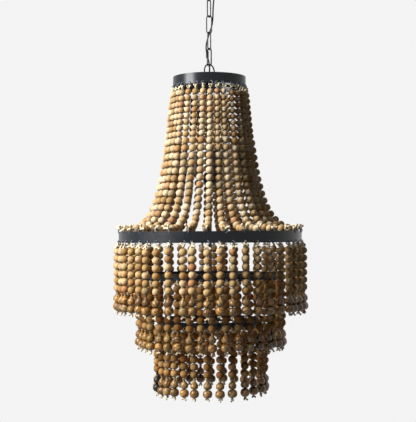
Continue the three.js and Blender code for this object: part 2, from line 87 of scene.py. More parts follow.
# Cell (i, j) of a grid joins (i, j), (i, j+1), (i+1, j+1) and (i+1, j); columns always close
def gridCells(rows, columns, closed=False):
    i = np.arange(rows if closed else rows - 1)[:, None]
    j = np.arange(columns)[None, :]
    below = i * columns
    above = (i + 1) % rows * columns
    after = (j + 1) % columns
    return np.stack([below + j, below + after, above + after, above + j], -1).reshape(-1, 4)


# Copy n's faces are the shape's faces with n times its number of points added
def spreadCopies(points, quads, tris, **marks):
    copies, each = points.shape[:2]
    step = (np.arange(copies) * each)[:, None, None]
    return {
        "points": points.reshape(-1, 3),
        "quads": (quads[None] + step).reshape(-1, 4),
        "tris": (tris[None] + step).reshape(-1, 3),
        "marks": {key: values.reshape(copies * each, -1) for key, values in marks.items()},
    }


# One shape from several, each one's faces shifted past the points before it
def together(shapes):
    before = np.cumsum([0] + [len(shape["points"]) for shape in shapes[:-1]])
    return {
        "points": np.concatenate([shape["points"] for shape in shapes]),
        "quads": np.concatenate([shape["quads"] + n for shape, n in zip(shapes, before)]),
        "tris": np.concatenate([shape["tris"] + n for shape, n in zip(shapes, before)]),
        "marks": {
            key: np.concatenate([shape["marks"][key] for shape in shapes])
            for key in shapes[0]["marks"]
        },
    }


# Even steps round a full turn
def fullTurn(steps):
    return np.arange(steps) * 2 * np.pi / steps


# The length so far at each point of a path: the sum of the steps before it
def lengthSoFar(path):
    steps = np.linalg.norm(np.diff(path, axis=-2), axis=-1)
    return np.concatenate([np.zeros((*steps.shape[:-1], 1)), np.cumsum(steps, -1)], -1)


# A profile of (radius, height) turned about the vertical: point (i, j) is at radius i and height i,
# turned by j / segments of a full turn. A radius of 0 at an end is one point with a fan of faces
def turned(profile, segments, closed=False):
    profile = np.asarray(profile, float)
    poleBelow = profile[0, 0] == 0
    poleAbove = profile[-1, 0] == 0
    body = profile[1 if poleBelow else 0:len(profile) - (1 if poleAbove else 0)]
    turn = fullTurn(segments)
    ring = np.stack([np.cos(turn), np.sin(turn), np.zeros(segments)], -1)
    points = body[:, None, :1] * ring + body[:, None, 1:] * np.array([0, 0, 1])
    points = points.reshape(-1, 3)
    quads = gridCells(len(body), segments, closed)
    here = np.arange(segments)
    after = (here + 1) % segments
    fans = []
    if poleBelow:
        fans.append(np.stack([np.full(segments, len(points)), after, here], -1))
        points = np.vstack([points, [0, 0, profile[0, 1]]])
    if poleAbove:
        last = (len(body) - 1) * segments
        fans.append(np.stack([np.full(segments, len(points)), last + here, last + after], -1))
        points = np.vstack([points, [0, 0, profile[-1, 1]]])
    tris = np.concatenate(fans) if fans else np.zeros((0, 3), int)
    return {"points": points, "quads": quads, "tris": tris, "marks": {}}


# Ring i is centre i plus the radius times (cos turn * side + sin turn * across): side is the
# reference made square to the path, and across is the path's direction x side
def tubeRings(path, radius, sides, reference, closed=False):
    ahead = np.roll(path, -1, -2) - np.roll(path, 1, -2)
    if not closed:
        ahead[..., 0, :] = path[..., 1, :] - path[..., 0, :]
        ahead[..., -1, :] = path[..., -1, :] - path[..., -2, :]
    ahead /= np.linalg.norm(ahead, axis=-1, keepdims=True)
    reference = np.broadcast_to(np.asarray(reference, float), path.shape)
    side = reference - ahead * np.sum(ahead * reference, -1, keepdims=True)
    side /= np.linalg.norm(side, axis=-1, keepdims=True)
    across = np.cross(ahead, side)
    turn = fullTurn(sides)[:, None]
    reach = np.broadcast_to(np.asarray(radius, float), path.shape[:-1])[..., None, None]
    spokes = np.cos(turn) * side[..., None, :] + np.sin(turn) * across[..., None, :]
    return path[..., None, :] + reach * spokes


# The skin over rings of points, closed on itself or with a fan of faces over each end.
# The mark "along" holds the share of a turn, the length in millimetres and a number for each copy
def skinOver(rings, closed=False):
    if rings.ndim == 3:
        rings = rings[None]
    copies, rows, sides = rings.shape[:3]
    centres = rings.mean(2)
    run = lengthSoFar(centres) / millimetre
    turn = np.broadcast_to(np.arange(sides) / sides, (copies, rows, sides))
    lengths = np.broadcast_to(run[:, :, None], turn.shape)
    number = np.broadcast_to(np.arange(copies)[:, None, None], turn.shape)
    along = np.stack([turn, lengths, number], -1).reshape(copies, -1, 3)
    points = rings.reshape(copies, -1, 3)
    quads = gridCells(rows, sides, closed)
    tris = np.zeros((0, 3), int)
    if not closed:
        here = np.arange(sides)
        after = (here + 1) % sides
        first = np.full(sides, rows * sides)
        last = (rows - 1) * sides
        tris = np.concatenate([
            np.stack([first, after, here], -1),
            np.stack([first + 1, last + here, last + after], -1),
        ])
        points = np.concatenate([points, centres[:, :1], centres[:, -1:]], 1)
        along = np.concatenate([along, along[:, :1], along[:, -1:]], 1)
    return spreadCopies(points, quads, tris, along=along)


# A shape moved to each place, after a turn by each place's three axes and a stretch
def placeCopies(shape, places, axes, stretch=1.0):
    stretch = np.broadcast_to(np.asarray(stretch, float), places.shape)
    local = shape["points"][None] * stretch[:, None, :]
    return places[:, None, :] + np.einsum("nij,nkj->nki", axes, local)


# Unit vectors that point outward, along the band and up at each azimuth
def bandAxes(azimuths):
    turn = np.radians(np.asarray(azimuths, float))
    zero = np.zeros_like(turn)
    outward = np.stack([np.sin(turn), -np.cos(turn), zero], -1)
    sideways = np.stack([np.cos(turn), np.sin(turn), zero], -1)
    upward = np.stack([zero, zero, zero + 1], -1)
    return np.stack([outward, sideways, upward], -1)


# A turn about one of the three axes, for each angle in degrees
def turnsAbout(axis, angles):
    turn = np.radians(np.asarray(angles, float))
    first, second = [(1, 2), (2, 0), (0, 1)][axis]
    turns = np.zeros(turn.shape + (3, 3))
    turns[..., axis, axis] = 1
    turns[..., first, first] = turns[..., second, second] = np.cos(turn)
    turns[..., second, first] = np.sin(turn)
    turns[..., first, second] = -np.sin(turn)
    return turns


# Turns in random directions, from four random numbers each taken as a quaternion
def randomTurns(count):
    numbers = chance.normal(size=(4, count))
    w, x, y, z = numbers / np.linalg.norm(numbers, axis=0)
    return np.stack([
        np.stack([1 - 2 * (y * y + z * z), 2 * (x * y - z * w), 2 * (x * z + y * w)], -1),
        np.stack([2 * (x * y + z * w), 1 - 2 * (x * x + z * z), 2 * (y * z - x * w)], -1),
        np.stack([2 * (x * z - y * w), 2 * (y * z + x * w), 1 - 2 * (x * x + y * y)], -1),
    ], -2)


# Screen values of 0 to 255 as light: ((share + 0.055) / 1.055) to the power 2.4, and straight near black
def linearColour(red, green, blue):
    share = np.array([red, green, blue]) / 255
    return np.where(share > 0.04045, ((share + 0.055) / 1.055) ** 2.4, share / 12.92)


# The same with a fourth value of 1, as a node takes it
def nodeColour(*colour):
    return (*linearColour(*colour), 1.0)


# Camera and lights
studio = {
    "cameraPlace": (-0.0054, -2.5, -0.6903),
    "cameraTilt": 1.345,
    "cameraRoll": 0.3,
    "lens": 86.45,
    "sensor": 36.0,
    "floorHeight": -2.5,
    "floorReach": 6.0,
    "paleColour": (0.9, 0.9, 0.9, 1.0),
    "floorColour": (0.25, 0.25, 0.25, 1.0),
    "shadowColour": (0.3, 0.3, 0.3, 1.0),
    "floorGlow": 0.72,
    "roomColour": (0.93, 0.96, 1.0, 1.0),
    "roomLight": 0.035,
    "keyPlace": (-1.8, -0.95, 1.05),
    "keySize": (1.1, 1.1),
    "keyPower": 98.0,
    "fillPlace": (-2.38, -1.15, -0.05),
    "fillSize": (1.3, 0.6),
    "fillPower": 84.0,
    "backPlace": (1.1, 2.45, 0.35),
    "backSize": (1.3, 1.3),
    "backPower": 40.0,
    "aim": (0.0, 0.0, -0.72),
}


# An area light at its place, turned so that its face looks at the aim
def addLamp(name, place, size, power, mirrored=True):
    data = bpy.data.lights.new(name, "AREA")
    data.shape = "RECTANGLE"
    data.size, data.size_y = size
    data.energy = power
    lamp = bpy.data.objects.new(name, data)
    lamp.location = place
    lamp.visible_glossy = mirrored
    aim = np.array(studio["aim"]) - np.array(place)
    flat = math.hypot(aim[0], aim[1])
    lamp.rotation_euler = (math.atan2(flat, -aim[2]), 0, math.atan2(aim[1], aim[0]) - math.pi / 2)
    scene.collection.objects.link(lamp)


# The camera looks along the lamp's middle, tilted up and rolled by a little as in the photo
def addStudio():
    data = bpy.data.cameras.new("camera")
    data.lens = studio["lens"]
    data.sensor_width = studio["sensor"]
    camera = bpy.data.objects.new("camera", data)
    camera.location = studio["cameraPlace"]
    tilt = math.radians(90 + studio["cameraTilt"])
    camera.rotation_euler = (tilt, math.radians(studio["cameraRoll"]), 0)
    scene.collection.objects.link(camera)
    scene.camera = camera
    addLamp("keyLight", studio["keyPlace"], studio["keySize"], studio["keyPower"])
    addLamp("fillLight", studio["fillPlace"], studio["fillSize"], studio["fillPower"])
    addLamp("backLight", studio["backPlace"], studio["backSize"], studio["backPower"], mirrored=False)


# Joins each socket to the output that it is given, or sets it to the value
def fillSockets(tree, node, inputs):
    for key, value in inputs.items():
        if isinstance(value, bpy.types.NodeSocket):
            tree.links.new(value, node.inputs[key])
        else:
            node.inputs[key].default_value = value


# Adds a node: settings are its own properties, and inputs its sockets, joined or given a value
def addNode(tree, kind, inputs=None, **settings):
    node = tree.nodes.new(kind)
    for key, value in settings.items():
        setattr(node, key, value)
    fillSockets(tree, node, inputs or {})
    return node


# One sum on numbers, or on three of them for an operation that takes three
def mathNode(tree, operation, first, second=0.0, third=None):
    inputs = {0: first, 1: second}
    if third is not None:
        inputs[2] = third
    return addNode(tree, "ShaderNodeMath", inputs, operation=operation).outputs[0]


# One sum on vectors; a scaling takes a number as its second value
def vectorNode(tree, operation, first, second):
    inputs = {0: first, "Scale" if operation == "SCALE" else 1: second}
    return addNode(tree, "ShaderNodeVectorMath", inputs, operation=operation).outputs[0]


# A noise read at a place: its scale is in steps to a metre, or to a radius in grain lengths
def noiseNode(tree, place, scale, detail, **more):
    inputs = {"Vector": place, "Scale": scale, "Detail": detail, **more}
    return addNode(tree, "ShaderNodeTexNoise", inputs).outputs


# The first two limits carried in a straight line onto the last two, and held beyond them
def rangeNode(tree, value, limits):
    return addNode(tree, "ShaderNodeMapRange", {0: value, **dict(enumerate(limits, 1))}).outputs[0]


# 1 where a ray comes from the camera, a gloss or clear glass, and 0 where it carries light
def showsBackground(tree):
    rays = addNode(tree, "ShaderNodeLightPath").outputs
    seen = mathNode(tree, "MAXIMUM", rays["Is Camera Ray"], rays["Is Glossy Ray"])
    return mathNode(tree, "MAXIMUM", seen, rays["Is Transmission Ray"])


# Room and floor look pale to the camera, and give little light themselves
def addSurroundings():
    world = bpy.data.worlds.new("room")
    scene.world = world
    world.use_nodes = True
    tree = world.node_tree
    tree.nodes.clear()
    light = addNode(
        tree, "ShaderNodeBackground", {"Color": studio["roomColour"], "Strength": studio["roomLight"]}
    )
    seen = addNode(tree, "ShaderNodeBackground", {"Color": studio["paleColour"], "Strength": 1.0})
    sides = {0: showsBackground(tree), 1: light.outputs[0], 2: seen.outputs[0]}
    mixed = addNode(tree, "ShaderNodeMixShader", sides)
    addNode(tree, "ShaderNodeOutputWorld", {"Surface": mixed.outputs[0]})

    material = bpy.data.materials.new("paleFloor")
    material.use_nodes = True
    tree = material.node_tree
    tree.nodes.clear()
    diffuse = addNode(tree, "ShaderNodeBsdfDiffuse", {"Color": studio["floorColour"]})
    glow = addNode(
        tree, "ShaderNodeEmission", {"Color": studio["paleColour"], "Strength": studio["floorGlow"]}
    )
    faint = addNode(tree, "ShaderNodeBsdfDiffuse", {"Color": studio["shadowColour"]})
    both = addNode(tree, "ShaderNodeAddShader", {0: glow.outputs[0], 1: faint.outputs[0]})
    sides = {0: showsBackground(tree), 1: diffuse.outputs[0], 2: both.outputs[0]}
    mixed = addNode(tree, "ShaderNodeMixShader", sides)
    addNode(tree, "ShaderNodeOutputMaterial", {"Surface": mixed.outputs[0]})
    mesh = bpy.data.meshes.new("floor")
    reach = studio["floorReach"]
    height = studio["floorHeight"]
    corners = [(x * reach, y * reach, height) for x, y in ((-1, -1), (1, -1), (1, 1), (-1, 1))]
    mesh.from_pydata(corners, [], [(0, 1, 2, 3)])
    mesh.materials.append(material)
    floor = bpy.data.objects.new("floor", mesh)
    scene.collection.objects.link(floor)


# An empty shader group with its sockets, and the ends to join inside it
def newGroup(name, inputs, outputs):
    group = bpy.data.node_groups.new(name, "ShaderNodeTree")
    kinds = {"vector": "NodeSocketVector", "colour": "NodeSocketColor", "number": "NodeSocketFloat"}
    for key, kind in inputs.items():
        group.interface.new_socket(key, in_out="INPUT", socket_type=kinds[kind])
    for key, kind in outputs.items():
        group.interface.new_socket(key, in_out="OUTPUT", socket_type=kinds[kind])
    return group, addNode(group, "NodeGroupInput").outputs, addNode(group, "NodeGroupOutput").inputs


# The first colour times 1 less the share, plus the second times the share
def mixColours(tree, share, first, second):
    inputs = {0: share, 6: first, 7: second}
    return addNode(tree, "ShaderNodeMix", inputs, data_type="RGBA").outputs[2]


woodPattern = {
    "bendScale": 0.9,
    "ringDistortion": 1.2,
    "ringDetailScale": 1.4,
    "ringPower": 2.2,
    "fibreStretch": (7.0, 7.0, 0.7),
    "fibreScale": 1.6,
    "fibreBreaks": 0.6,
    "fibreShades": (0.3, 0.7, 0.8, 1.12),
    "poreScale": 3.4,
    "poreLimits": (0.6, 0.72, 0.0, 1.0),
    "cloudScale": 0.55,
    "cloudShades": (0.3, 0.7, 0.86, 1.1),
    # How far the hole mark darkens the wood: darker end grain, and painted shade in the pits and where beads
    # touch
    "drillShade": 0.82,
    "fibreRoughness": 0.16,
    "poreRoughness": 0.12,
    "fibreHeight": 0.6,
    "poreHeight": 0.5,
    "ringHeight": -0.3,
    "bumpDistance": 0.0004,
}


# Wood: growth rings round an axis, bent by a slow noise, over fine fibres and short dark pores.
# The tone goes to the ring colour by the rings' share, then is multiplied by the fibres' and the
# cloud's shades, by 1 less the pores' share and by 1 less the hole mark times its depth: darker end grain at
# the holes, and painted shade in the pits and the crease where two beads touch
def buildWoodGrain():
    group, given, made = newGroup(
        "woodGrain",
        {
            "Place": "vector", "Tone": "colour", "Ring Colour": "colour", "Hole Dark And Shade": "number",
            "Ring Scale": "number", "Ring Depth": "number", "Swirl": "number", "Pores": "number",
            "Base Roughness": "number",
        },
        {"Color": "colour", "Roughness": "number", "Height": "number"},
    )
    look = woodPattern
    bend = noiseNode(group, given["Place"], look["bendScale"], 2.0)["Color"]
    centred = vectorNode(group, "SUBTRACT", bend, (0.5, 0.5, 0.5))
    pushed = vectorNode(group, "SCALE", centred, given["Swirl"])
    bent = vectorNode(group, "ADD", given["Place"], pushed)
    rings = addNode(
        group,
        "ShaderNodeTexWave",
        {"Vector": bent, "Scale": given["Ring Scale"], "Distortion": look["ringDistortion"], "Detail": 2.0,
         "Detail Scale": look["ringDetailScale"]},
        wave_type="RINGS", rings_direction="Z", wave_profile="SAW",
    ).outputs["Fac"]
    stretched = vectorNode(group, "MULTIPLY", bent, look["fibreStretch"])
    fibres = noiseNode(group, stretched, look["fibreScale"], 3.0, Roughness=look["fibreBreaks"])["Fac"]
    poreNoise = noiseNode(group, stretched, look["poreScale"], 1.0)["Fac"]
    pores = rangeNode(group, poreNoise, look["poreLimits"])
    cloud = noiseNode(group, given["Place"], look["cloudScale"], 1.0)["Fac"]
    ringShare = mathNode(group, "POWER", rings, look["ringPower"])
    ringShare = mathNode(group, "MULTIPLY", ringShare, given["Ring Depth"])
    colour = mixColours(group, ringShare, given["Tone"], given["Ring Colour"])
    shade = rangeNode(group, fibres, look["fibreShades"])
    level = mathNode(group, "MULTIPLY", shade, rangeNode(group, cloud, look["cloudShades"]))
    # Pores darken the wood, and the hole mark paints shade in the pits and where beads touch
    for share, depth in ((pores, given["Pores"]), (given["Hole Dark And Shade"], look["drillShade"])):
        kept = mathNode(group, "SUBTRACT", 1.0, mathNode(group, "MULTIPLY", share, depth))
        level = mathNode(group, "MULTIPLY", level, kept)
    group.links.new(vectorNode(group, "SCALE", colour, level), made["Color"])
    rough = mathNode(group, "ADD", given["Base Roughness"], -look["fibreRoughness"] / 2)
    rough = mathNode(group, "MULTIPLY_ADD", fibres, look["fibreRoughness"], rough)
    rough = mathNode(group, "MULTIPLY_ADD", pores, look["poreRoughness"], rough)
    group.links.new(rough, made["Roughness"])
    raised = mathNode(group, "MULTIPLY", fibres, look["fibreHeight"])
    height = mathNode(group, "SUBTRACT", raised, mathNode(group, "MULTIPLY", pores, look["poreHeight"]))
    height = mathNode(group, "MULTIPLY_ADD", ringShare, look["ringHeight"], height)
    group.links.new(height, made["Height"])
    return group


wearPattern = {
    "cloudScale": 22.0,
    "rubbedLimits": (0.56, 0.74, 0.0, 1.0),
    "speckShades": (0.3, 0.7, 0.86, 1.14),
    "cloudRoughness": 0.2,
    "speckRoughness": 0.08,
    "threadHeight": 3.0,
    "bumpDistance": 0.0002,
}


# Painted or dark metal: a slow cloud of tone, fine specks, and paler places where cloud and specks
# multiply to more. Roughness is the base plus half a range of the cloud either way, plus the specks'
def buildSatinWear():
    group, given, made = newGroup(
        "satinWear",
        {"Place": "vector", "Tone": "colour", "Rubbed": "colour", "Speck Scale": "number", "Wear": "number",
         "Base Roughness": "number"},
        {"Color": "colour", "Roughness": "number", "Height": "number"},
    )
    look = wearPattern
    slow = noiseNode(group, given["Place"], look["cloudScale"], 3.0)["Fac"]
    specks = noiseNode(group, given["Place"], given["Speck Scale"], 2.0)["Fac"]
    rubbed = mathNode(group, "MULTIPLY", rangeNode(group, slow, look["rubbedLimits"]), specks)
    share = mathNode(group, "MULTIPLY", rubbed, given["Wear"])
    colour = mixColours(group, share, given["Tone"], given["Rubbed"])
    level = rangeNode(group, specks, look["speckShades"])
    group.links.new(vectorNode(group, "SCALE", colour, level), made["Color"])
    rough = mathNode(group, "ADD", given["Base Roughness"], -look["cloudRoughness"] / 2)
    rough = mathNode(group, "MULTIPLY_ADD", slow, look["cloudRoughness"], rough)
    rough = mathNode(group, "MULTIPLY_ADD", specks, look["speckRoughness"], rough)
    group.links.new(rough, made["Roughness"])
    group.links.new(specks, made["Height"])
    return group


woodGrain = buildWoodGrain()
satinWear = buildSatinWear()


# A material with its node tree and its main shader
def newMaterial(name):
    material = bpy.data.materials.new(name)
    material.use_nodes = True
    tree = material.node_tree
    return material, tree, tree.nodes["Principled BSDF"]


# Tilts the shader's normal by a height that counts in the given distance
def addBump(tree, shader, height, strength, distance):
    bump = addNode(tree, "ShaderNodeBump", {"Height": height, "Strength": strength, "Distance": distance})
    tree.links.new(bump.outputs[0], shader.inputs["Normal"])


# Wood that reads its grain place, tone and hole mark from the mesh; the hole mark is darker end grain at the
# holes, and painted shade in the pits and where beads touch
def woodMaterial(name, settings):
    material, tree, shader = newMaterial(name)
    grain = addNode(tree, "ShaderNodeGroup", node_tree=woodGrain)
    marks = (("grain", "Vector", "Place"), ("tone", "Color", "Tone"), ("drill", "Fac", "Hole Dark And Shade"))
    for mark, output, socket in marks:
        value = addNode(tree, "ShaderNodeAttribute", attribute_name=mark).outputs[output]
        tree.links.new(value, grain.inputs[socket])
    fillSockets(tree, grain, settings["grain"])
    fillSockets(tree, shader, {"Base Color": grain.outputs["Color"], "Roughness": grain.outputs["Roughness"]})
    addBump(tree, shader, grain.outputs["Height"], settings["bump"], woodPattern["bumpDistance"])
    fillSockets(tree, shader, settings["shader"])
    return material


# Metal, plastic or wire; a wave's bands lie 2 pi / 20 over its scale apart, which gives the threads' scale
def metalMaterial(name, settings):
    material, tree, shader = newMaterial(name)
    place = addNode(tree, "ShaderNodeTexCoord").outputs["Object"]
    wear = addNode(tree, "ShaderNodeGroup", node_tree=satinWear)
    fillSockets(tree, wear, {"Place": place, **settings["wear"]})
    fillSockets(tree, shader, {"Base Color": wear.outputs["Color"], "Roughness": wear.outputs["Roughness"]})
    height = wear.outputs["Height"]
    if "threadPitch" in settings:
        scale = 2 * math.pi / 20 / settings["threadPitch"]
        thread = addNode(
            tree, "ShaderNodeTexWave", {"Vector": place, "Scale": scale}, wave_type="BANDS",
            bands_direction="Z",
        ).outputs["Fac"]
        height = mathNode(tree, "MULTIPLY_ADD", thread, wearPattern["threadHeight"], height)
    distance = settings.get("bumpDistance", wearPattern["bumpDistance"])
    addBump(tree, shader, height, settings["bump"], distance)
    fillSockets(tree, shader, settings["shader"])
    return material


finishes = {
    "naturalWood": {
        "grain": {
            "Ring Colour": nodeColour(150, 106, 62), "Ring Scale": 0.7, "Ring Depth": 0.62, "Swirl": 1.2,
            "Pores": 0.4, "Base Roughness": 0.6,
        },
        "shader": {"Specular IOR Level": 0.08},
        "bump": 0.35,
    },
    "varnishedWood": {
        "grain": {
            "Ring Colour": nodeColour(40, 25, 11), "Ring Scale": 0.42, "Ring Depth": 1.0, "Swirl": 1.0,
            "Pores": 0.35, "Base Roughness": 0.42,
        },
        "shader": {"Specular IOR Level": 0.15, "Coat Weight": 0.5, "Coat Roughness": 0.16},
        "bump": 0.15,
    },
    "blackWood": {
        "grain": {
            "Ring Colour": nodeColour(52, 40, 32), "Ring Scale": 0.7, "Ring Depth": 0.4, "Swirl": 0.8,
            "Pores": 0.3, "Base Roughness": 0.38,
        },
        "shader": {"Specular IOR Level": 0.15, "Coat Weight": 0.3, "Coat Roughness": 0.14},
        "bump": 0.15,
    },
    "blackSteel": {
        "wear": {
            "Tone": nodeColour(14, 18, 24), "Rubbed": nodeColour(40, 48, 58), "Speck Scale": 900.0,
            "Wear": 0.5, "Base Roughness": 0.24,
        },
        "shader": {"Specular IOR Level": 0.27},
        "bump": 0.03,
    },
    "chainSteel": {
        "wear": {
            "Tone": nodeColour(52, 54, 58), "Rubbed": nodeColour(120, 118, 114), "Speck Scale": 1400.0,
            "Wear": 0.8, "Base Roughness": 0.36,
        },
        "shader": {"Metallic": 0.85},
        "bump": 0.15,
    },
    "threadedSteel": {
        "wear": {
            "Tone": nodeColour(70, 71, 74), "Rubbed": nodeColour(140, 138, 132), "Speck Scale": 1400.0,
            "Wear": 0.7, "Base Roughness": 0.38,
        },
        "shader": {"Metallic": 0.85},
        "bump": 0.8,
        "bumpDistance": 0.0004,
        "threadPitch": 0.0012,
    },
    "hookWire": {
        "wear": {
            "Tone": nodeColour(86, 94, 104), "Rubbed": nodeColour(124, 132, 142), "Speck Scale": 2000.0,
            "Wear": 0.8, "Base Roughness": 0.4,
        },
        "shader": {"Metallic": 0.4},
        "bump": 0.1,
    },
    "holderPlastic": {
        "wear": {
            "Tone": nodeColour(34, 33, 33), "Rubbed": nodeColour(62, 60, 58), "Speck Scale": 1600.0,
            "Wear": 0.5, "Base Roughness": 0.42,
        },
        "shader": {"Metallic": 0.0},
        "bump": 0.1,
    },
    "brass": {
        "wear": {
            "Tone": nodeColour(196, 158, 88), "Rubbed": nodeColour(226, 196, 128), "Speck Scale": 1500.0,
            "Wear": 0.7, "Base Roughness": 0.3,
        },
        "shader": {"Metallic": 1.0},
        "bump": 0.7,
        "bumpDistance": 0.0005,
        "threadPitch": 0.0021,
    },
}


twinePattern = {
    "fuzzScale": 3.5,
    "strandShare": 0.9,
    "fuzzShare": 0.7,
    "roughness": (0.3, 0.7, 0.8, 0.98),
    "bump": 0.6,
    "bumpDistance": 0.0004,
    "specular": 0.3,
}


# Twisted string: slanted strands from the mark's turn and length, with fuzz from a fine noise.
# The pale share is the strand's zigzag and the fuzz, each times its own share
def twineMaterial(name, settings):
    material, tree, shader = newMaterial(name)
    look = twinePattern
    along = addNode(tree, "ShaderNodeAttribute", attribute_name="along").outputs["Vector"]
    parts = addNode(tree, "ShaderNodeSeparateXYZ", {0: along}).outputs
    slant = mathNode(tree, "MULTIPLY_ADD", parts[1], settings["twistsPerMillimetre"], parts[0])
    strand = mathNode(tree, "PINGPONG", mathNode(tree, "MULTIPLY", slant, settings["strands"]), 0.5)
    fuzz = noiseNode(tree, along, look["fuzzScale"], 3.0)["Fac"]
    level = mathNode(tree, "MULTIPLY", fuzz, look["fuzzShare"])
    level = mathNode(tree, "MULTIPLY_ADD", strand, look["strandShare"], level)
    colour = mixColours(tree, level, settings["dark"], settings["pale"])
    addBump(tree, shader, level, look["bump"], look["bumpDistance"])
    fillSockets(tree, shader, {
        "Base Color": colour, "Roughness": rangeNode(tree, fuzz, look["roughness"]),
        "Sheen Weight": settings["sheen"], "Specular IOR Level": look["specular"],
    })
    return material


twineFinish = {
    "dark": nodeColour(186, 160, 116),
    "pale": nodeColour(244, 231, 200),
    "strands": 3.0,
    "twistsPerMillimetre": 0.25,
    "sheen": 0.2,
}
cordFinish = {
    "dark": nodeColour(14, 14, 15),
    "pale": nodeColour(46, 45, 46),
    "strands": 14.0,
    "twistsPerMillimetre": 0.35,
    "sheen": 0.1,
}
materials = {
    key: woodMaterial(key, finish) if "grain" in finish else metalMaterial(key, finish)
    for key, finish in finishes.items()
}
materials["twine"] = twineMaterial("twine", twineFinish)
materials["wovenCable"] = twineMaterial("wovenCable", cordFinish)

addStudio()
addSurroundings()
print("studio and materials made")

# Lamp cord through the chain, its route in millimetres from the gland to the hanging loop
lampCord = {
    "route": [
        (24, 8, -32.3), (24, 8, -39), (23.2, 7.7, -50), (20.2, 6.5, -66), (16, 4.2, -84),
        (12.6, 1.6, -104), (10.6, -0.4, -122), (9.9, -0.6, -138), (9.3, 1.4, -153), (7.6, 4.4, -167),
        (4, 7.2, -180), (-0.6, 8.6, -193), (-4.6, 6.8, -207), (-7.2, 2.8, -219), (-7.6, -1.6, -230),
        (-6, -4.4, -242), (-3.4, -5.7, -254), (-0.9, -5.9, -265), (0.4, -5.2, -275), (0.5, -2.8, -284),
        (0.1, -0.7, -291), (0, 0, -296.5), (0, 0, -300.6),
    ],
    "radius": 1.8,
    "sides": 16,
    "pointSpacing": 1.2,
    "bendReach": 14.0,
}
chainJoints = [-70.0, -110.2, -150.9, -191.6, -232.3, -272.25]


# A curve through the points: each span is the cubic whose slope at a point is half the step
# between its neighbours. It is then read again at even lengths
def smoothPath(points, spacing, steps=24):
    points = np.asarray(points, float)
    before = np.vstack([points[:1], points[:-2]])
    after = np.vstack([points[2:], points[-1:]])
    here, there = points[:-1], points[1:]
    t = np.linspace(0, 1, steps, endpoint=False)[None, :, None]
    here, there, before, after = (v[:, None, :] for v in (here, there, before, after))
    path = here + t / 2 * (there - before) + t * t * (before - 2.5 * here + 2 * there - after / 2)
    path = path + t ** 3 * (1.5 * (here - there) + (after - before) / 2)
    path = np.vstack([path.reshape(-1, 3), points[-1:]])
    return evenPath(path, spacing)


# The same line with points at even lengths, about the spacing apart
def evenPath(path, spacing):
    run = lengthSoFar(path)
    stops = np.linspace(0, run[-1], max(2, round(run[-1] / spacing) + 1))
    return np.stack([np.interp(stops, run, path[:, axis]) for axis in range(3)], -1)


# One length of cord for each joint of the chain, cut halfway between the joints
def makeLampCord():
    path = smoothPath(lampCord["route"], lampCord["pointSpacing"]) * millimetre
    rings = tubeRings(path, lampCord["radius"] * millimetre, lampCord["sides"], (1, 0, 0))
    joints = np.array(chainJoints) * millimetre
    cuts = (joints[:-1] + joints[1:]) / 2
    edges = [0] + [int(np.argmin(abs(path[:, 2] - cut))) for cut in cuts] + [len(path) - 1]
    for i, joint in enumerate(joints):
        part = slice(edges[i], edges[i + 1] + 1)
        piece = makePiece(
            f"lampCord_{i + 1}", skinOver(rings[part]), None, "wovenCable",
            ["power_cord"],
        )
        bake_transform(piece)


makeLampCord()
print("lamp cord made")

# Ceiling canopy, its ring and the cord gland
canopySizes = {
    "profile": [
        (5.4, -24), (20, -24), (31, -24), (33.5, -23.8), (35.6, -22.8), (45, -15.3), (54, -6.9),
        (55.4, -5.6), (56, -4.2), (56, -0.5), (55.7, 0), (55.1, 0), (54.8, -0.4), (54.8, -4.1),
        (54, -5.3), (44.4, -13.9), (34.8, -21.6), (33, -22.6), (20, -22.8), (5.4, -22.8),
    ],
    "segments": 96,
    "ring": {"size": 30, "wire": 2, "twist": 20, "middle": -57},
}
collarSizes = {
    "profile": [
        (0, -43.3), (6.6, -43.3), (7.6, -42.9), (8, -42), (8, -33), (7.7, -32.6), (7.2, -32.4), (7.2, -31.2),
        (7.7, -31), (8, -30.6), (8, -25.1), (7.7, -24.5), (7.2, -24.3), (5, -24.3), (5, -3.9), (0, -3.8),
    ],
    "segments": 40,
}
glandSizes = {
    "x": 24,
    "y": 8,
    "profile": [
        (2.2, -30.6), (2.4, -31.9), (3.4, -32), (4.6, -31.6), (5.2, -30.6), (5.4, -29), (5.5, -28.8),
        (5.5, -24.8), (5.2, -24.3), (3.6, -24.3), (3.6, -18.4), (2.2, -18.3),
    ],
    "segments": 40,
    "ribs": 20,
    "ribDepth": 0.25,
    "ribRadius": 5.5,
    "ribInside": 5.3,
    "ribTop": -24.5,
}
# Degrees between faces from which an edge stays sharp
sharpAngles = {"turned": 34, "wire": 50, "sleeve": 30, "rod": 40}


# Gives one of the CAD's own solids a finish
def setMaterial(node, finish):
    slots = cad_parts[node].material_slots
    for slot in slots:
        slot.material = materials[finish]
    if not slots:
        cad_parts[node].data.materials.append(materials[finish])


# Moves a shape, then takes it from millimetres to metres
def inMetres(shape, x=0.0, y=0.0, z=0.0):
    shape["points"] = (shape["points"] + np.array([x, y, z])) * millimetre
    return shape


# The middle line of a wire bent to a long loop: two half turns joined by straight bars, then
# turned by the twist about the vertical and moved to its height
def loopLine(length, width, wire, twist, middle, arcSteps=20, barSteps=8):
    arc = width / 2 - wire
    half = length / 2 - wire - arc
    turn = np.linspace(0, np.pi, arcSteps + 1)
    over = np.stack([arc * np.cos(turn), half + arc * np.sin(turn)], -1)
    parts = [over]
    if half > 0:
        down = np.linspace(half, -half, barSteps + 1)[1:-1]
        parts.append(np.stack([np.full(len(down), -arc), down], -1))
    parts.append(-over)
    if half > 0:
        parts.append(np.stack([np.full(len(down), arc), -down], -1))
    flat = np.vstack(parts)
    flat = flat[np.linalg.norm(flat - np.roll(flat, 1, 0), axis=1) > nearly]
    angle = math.radians(twist)
    x, z = flat.T
    return np.stack([x * math.cos(angle), x * math.sin(angle), z + middle], -1)


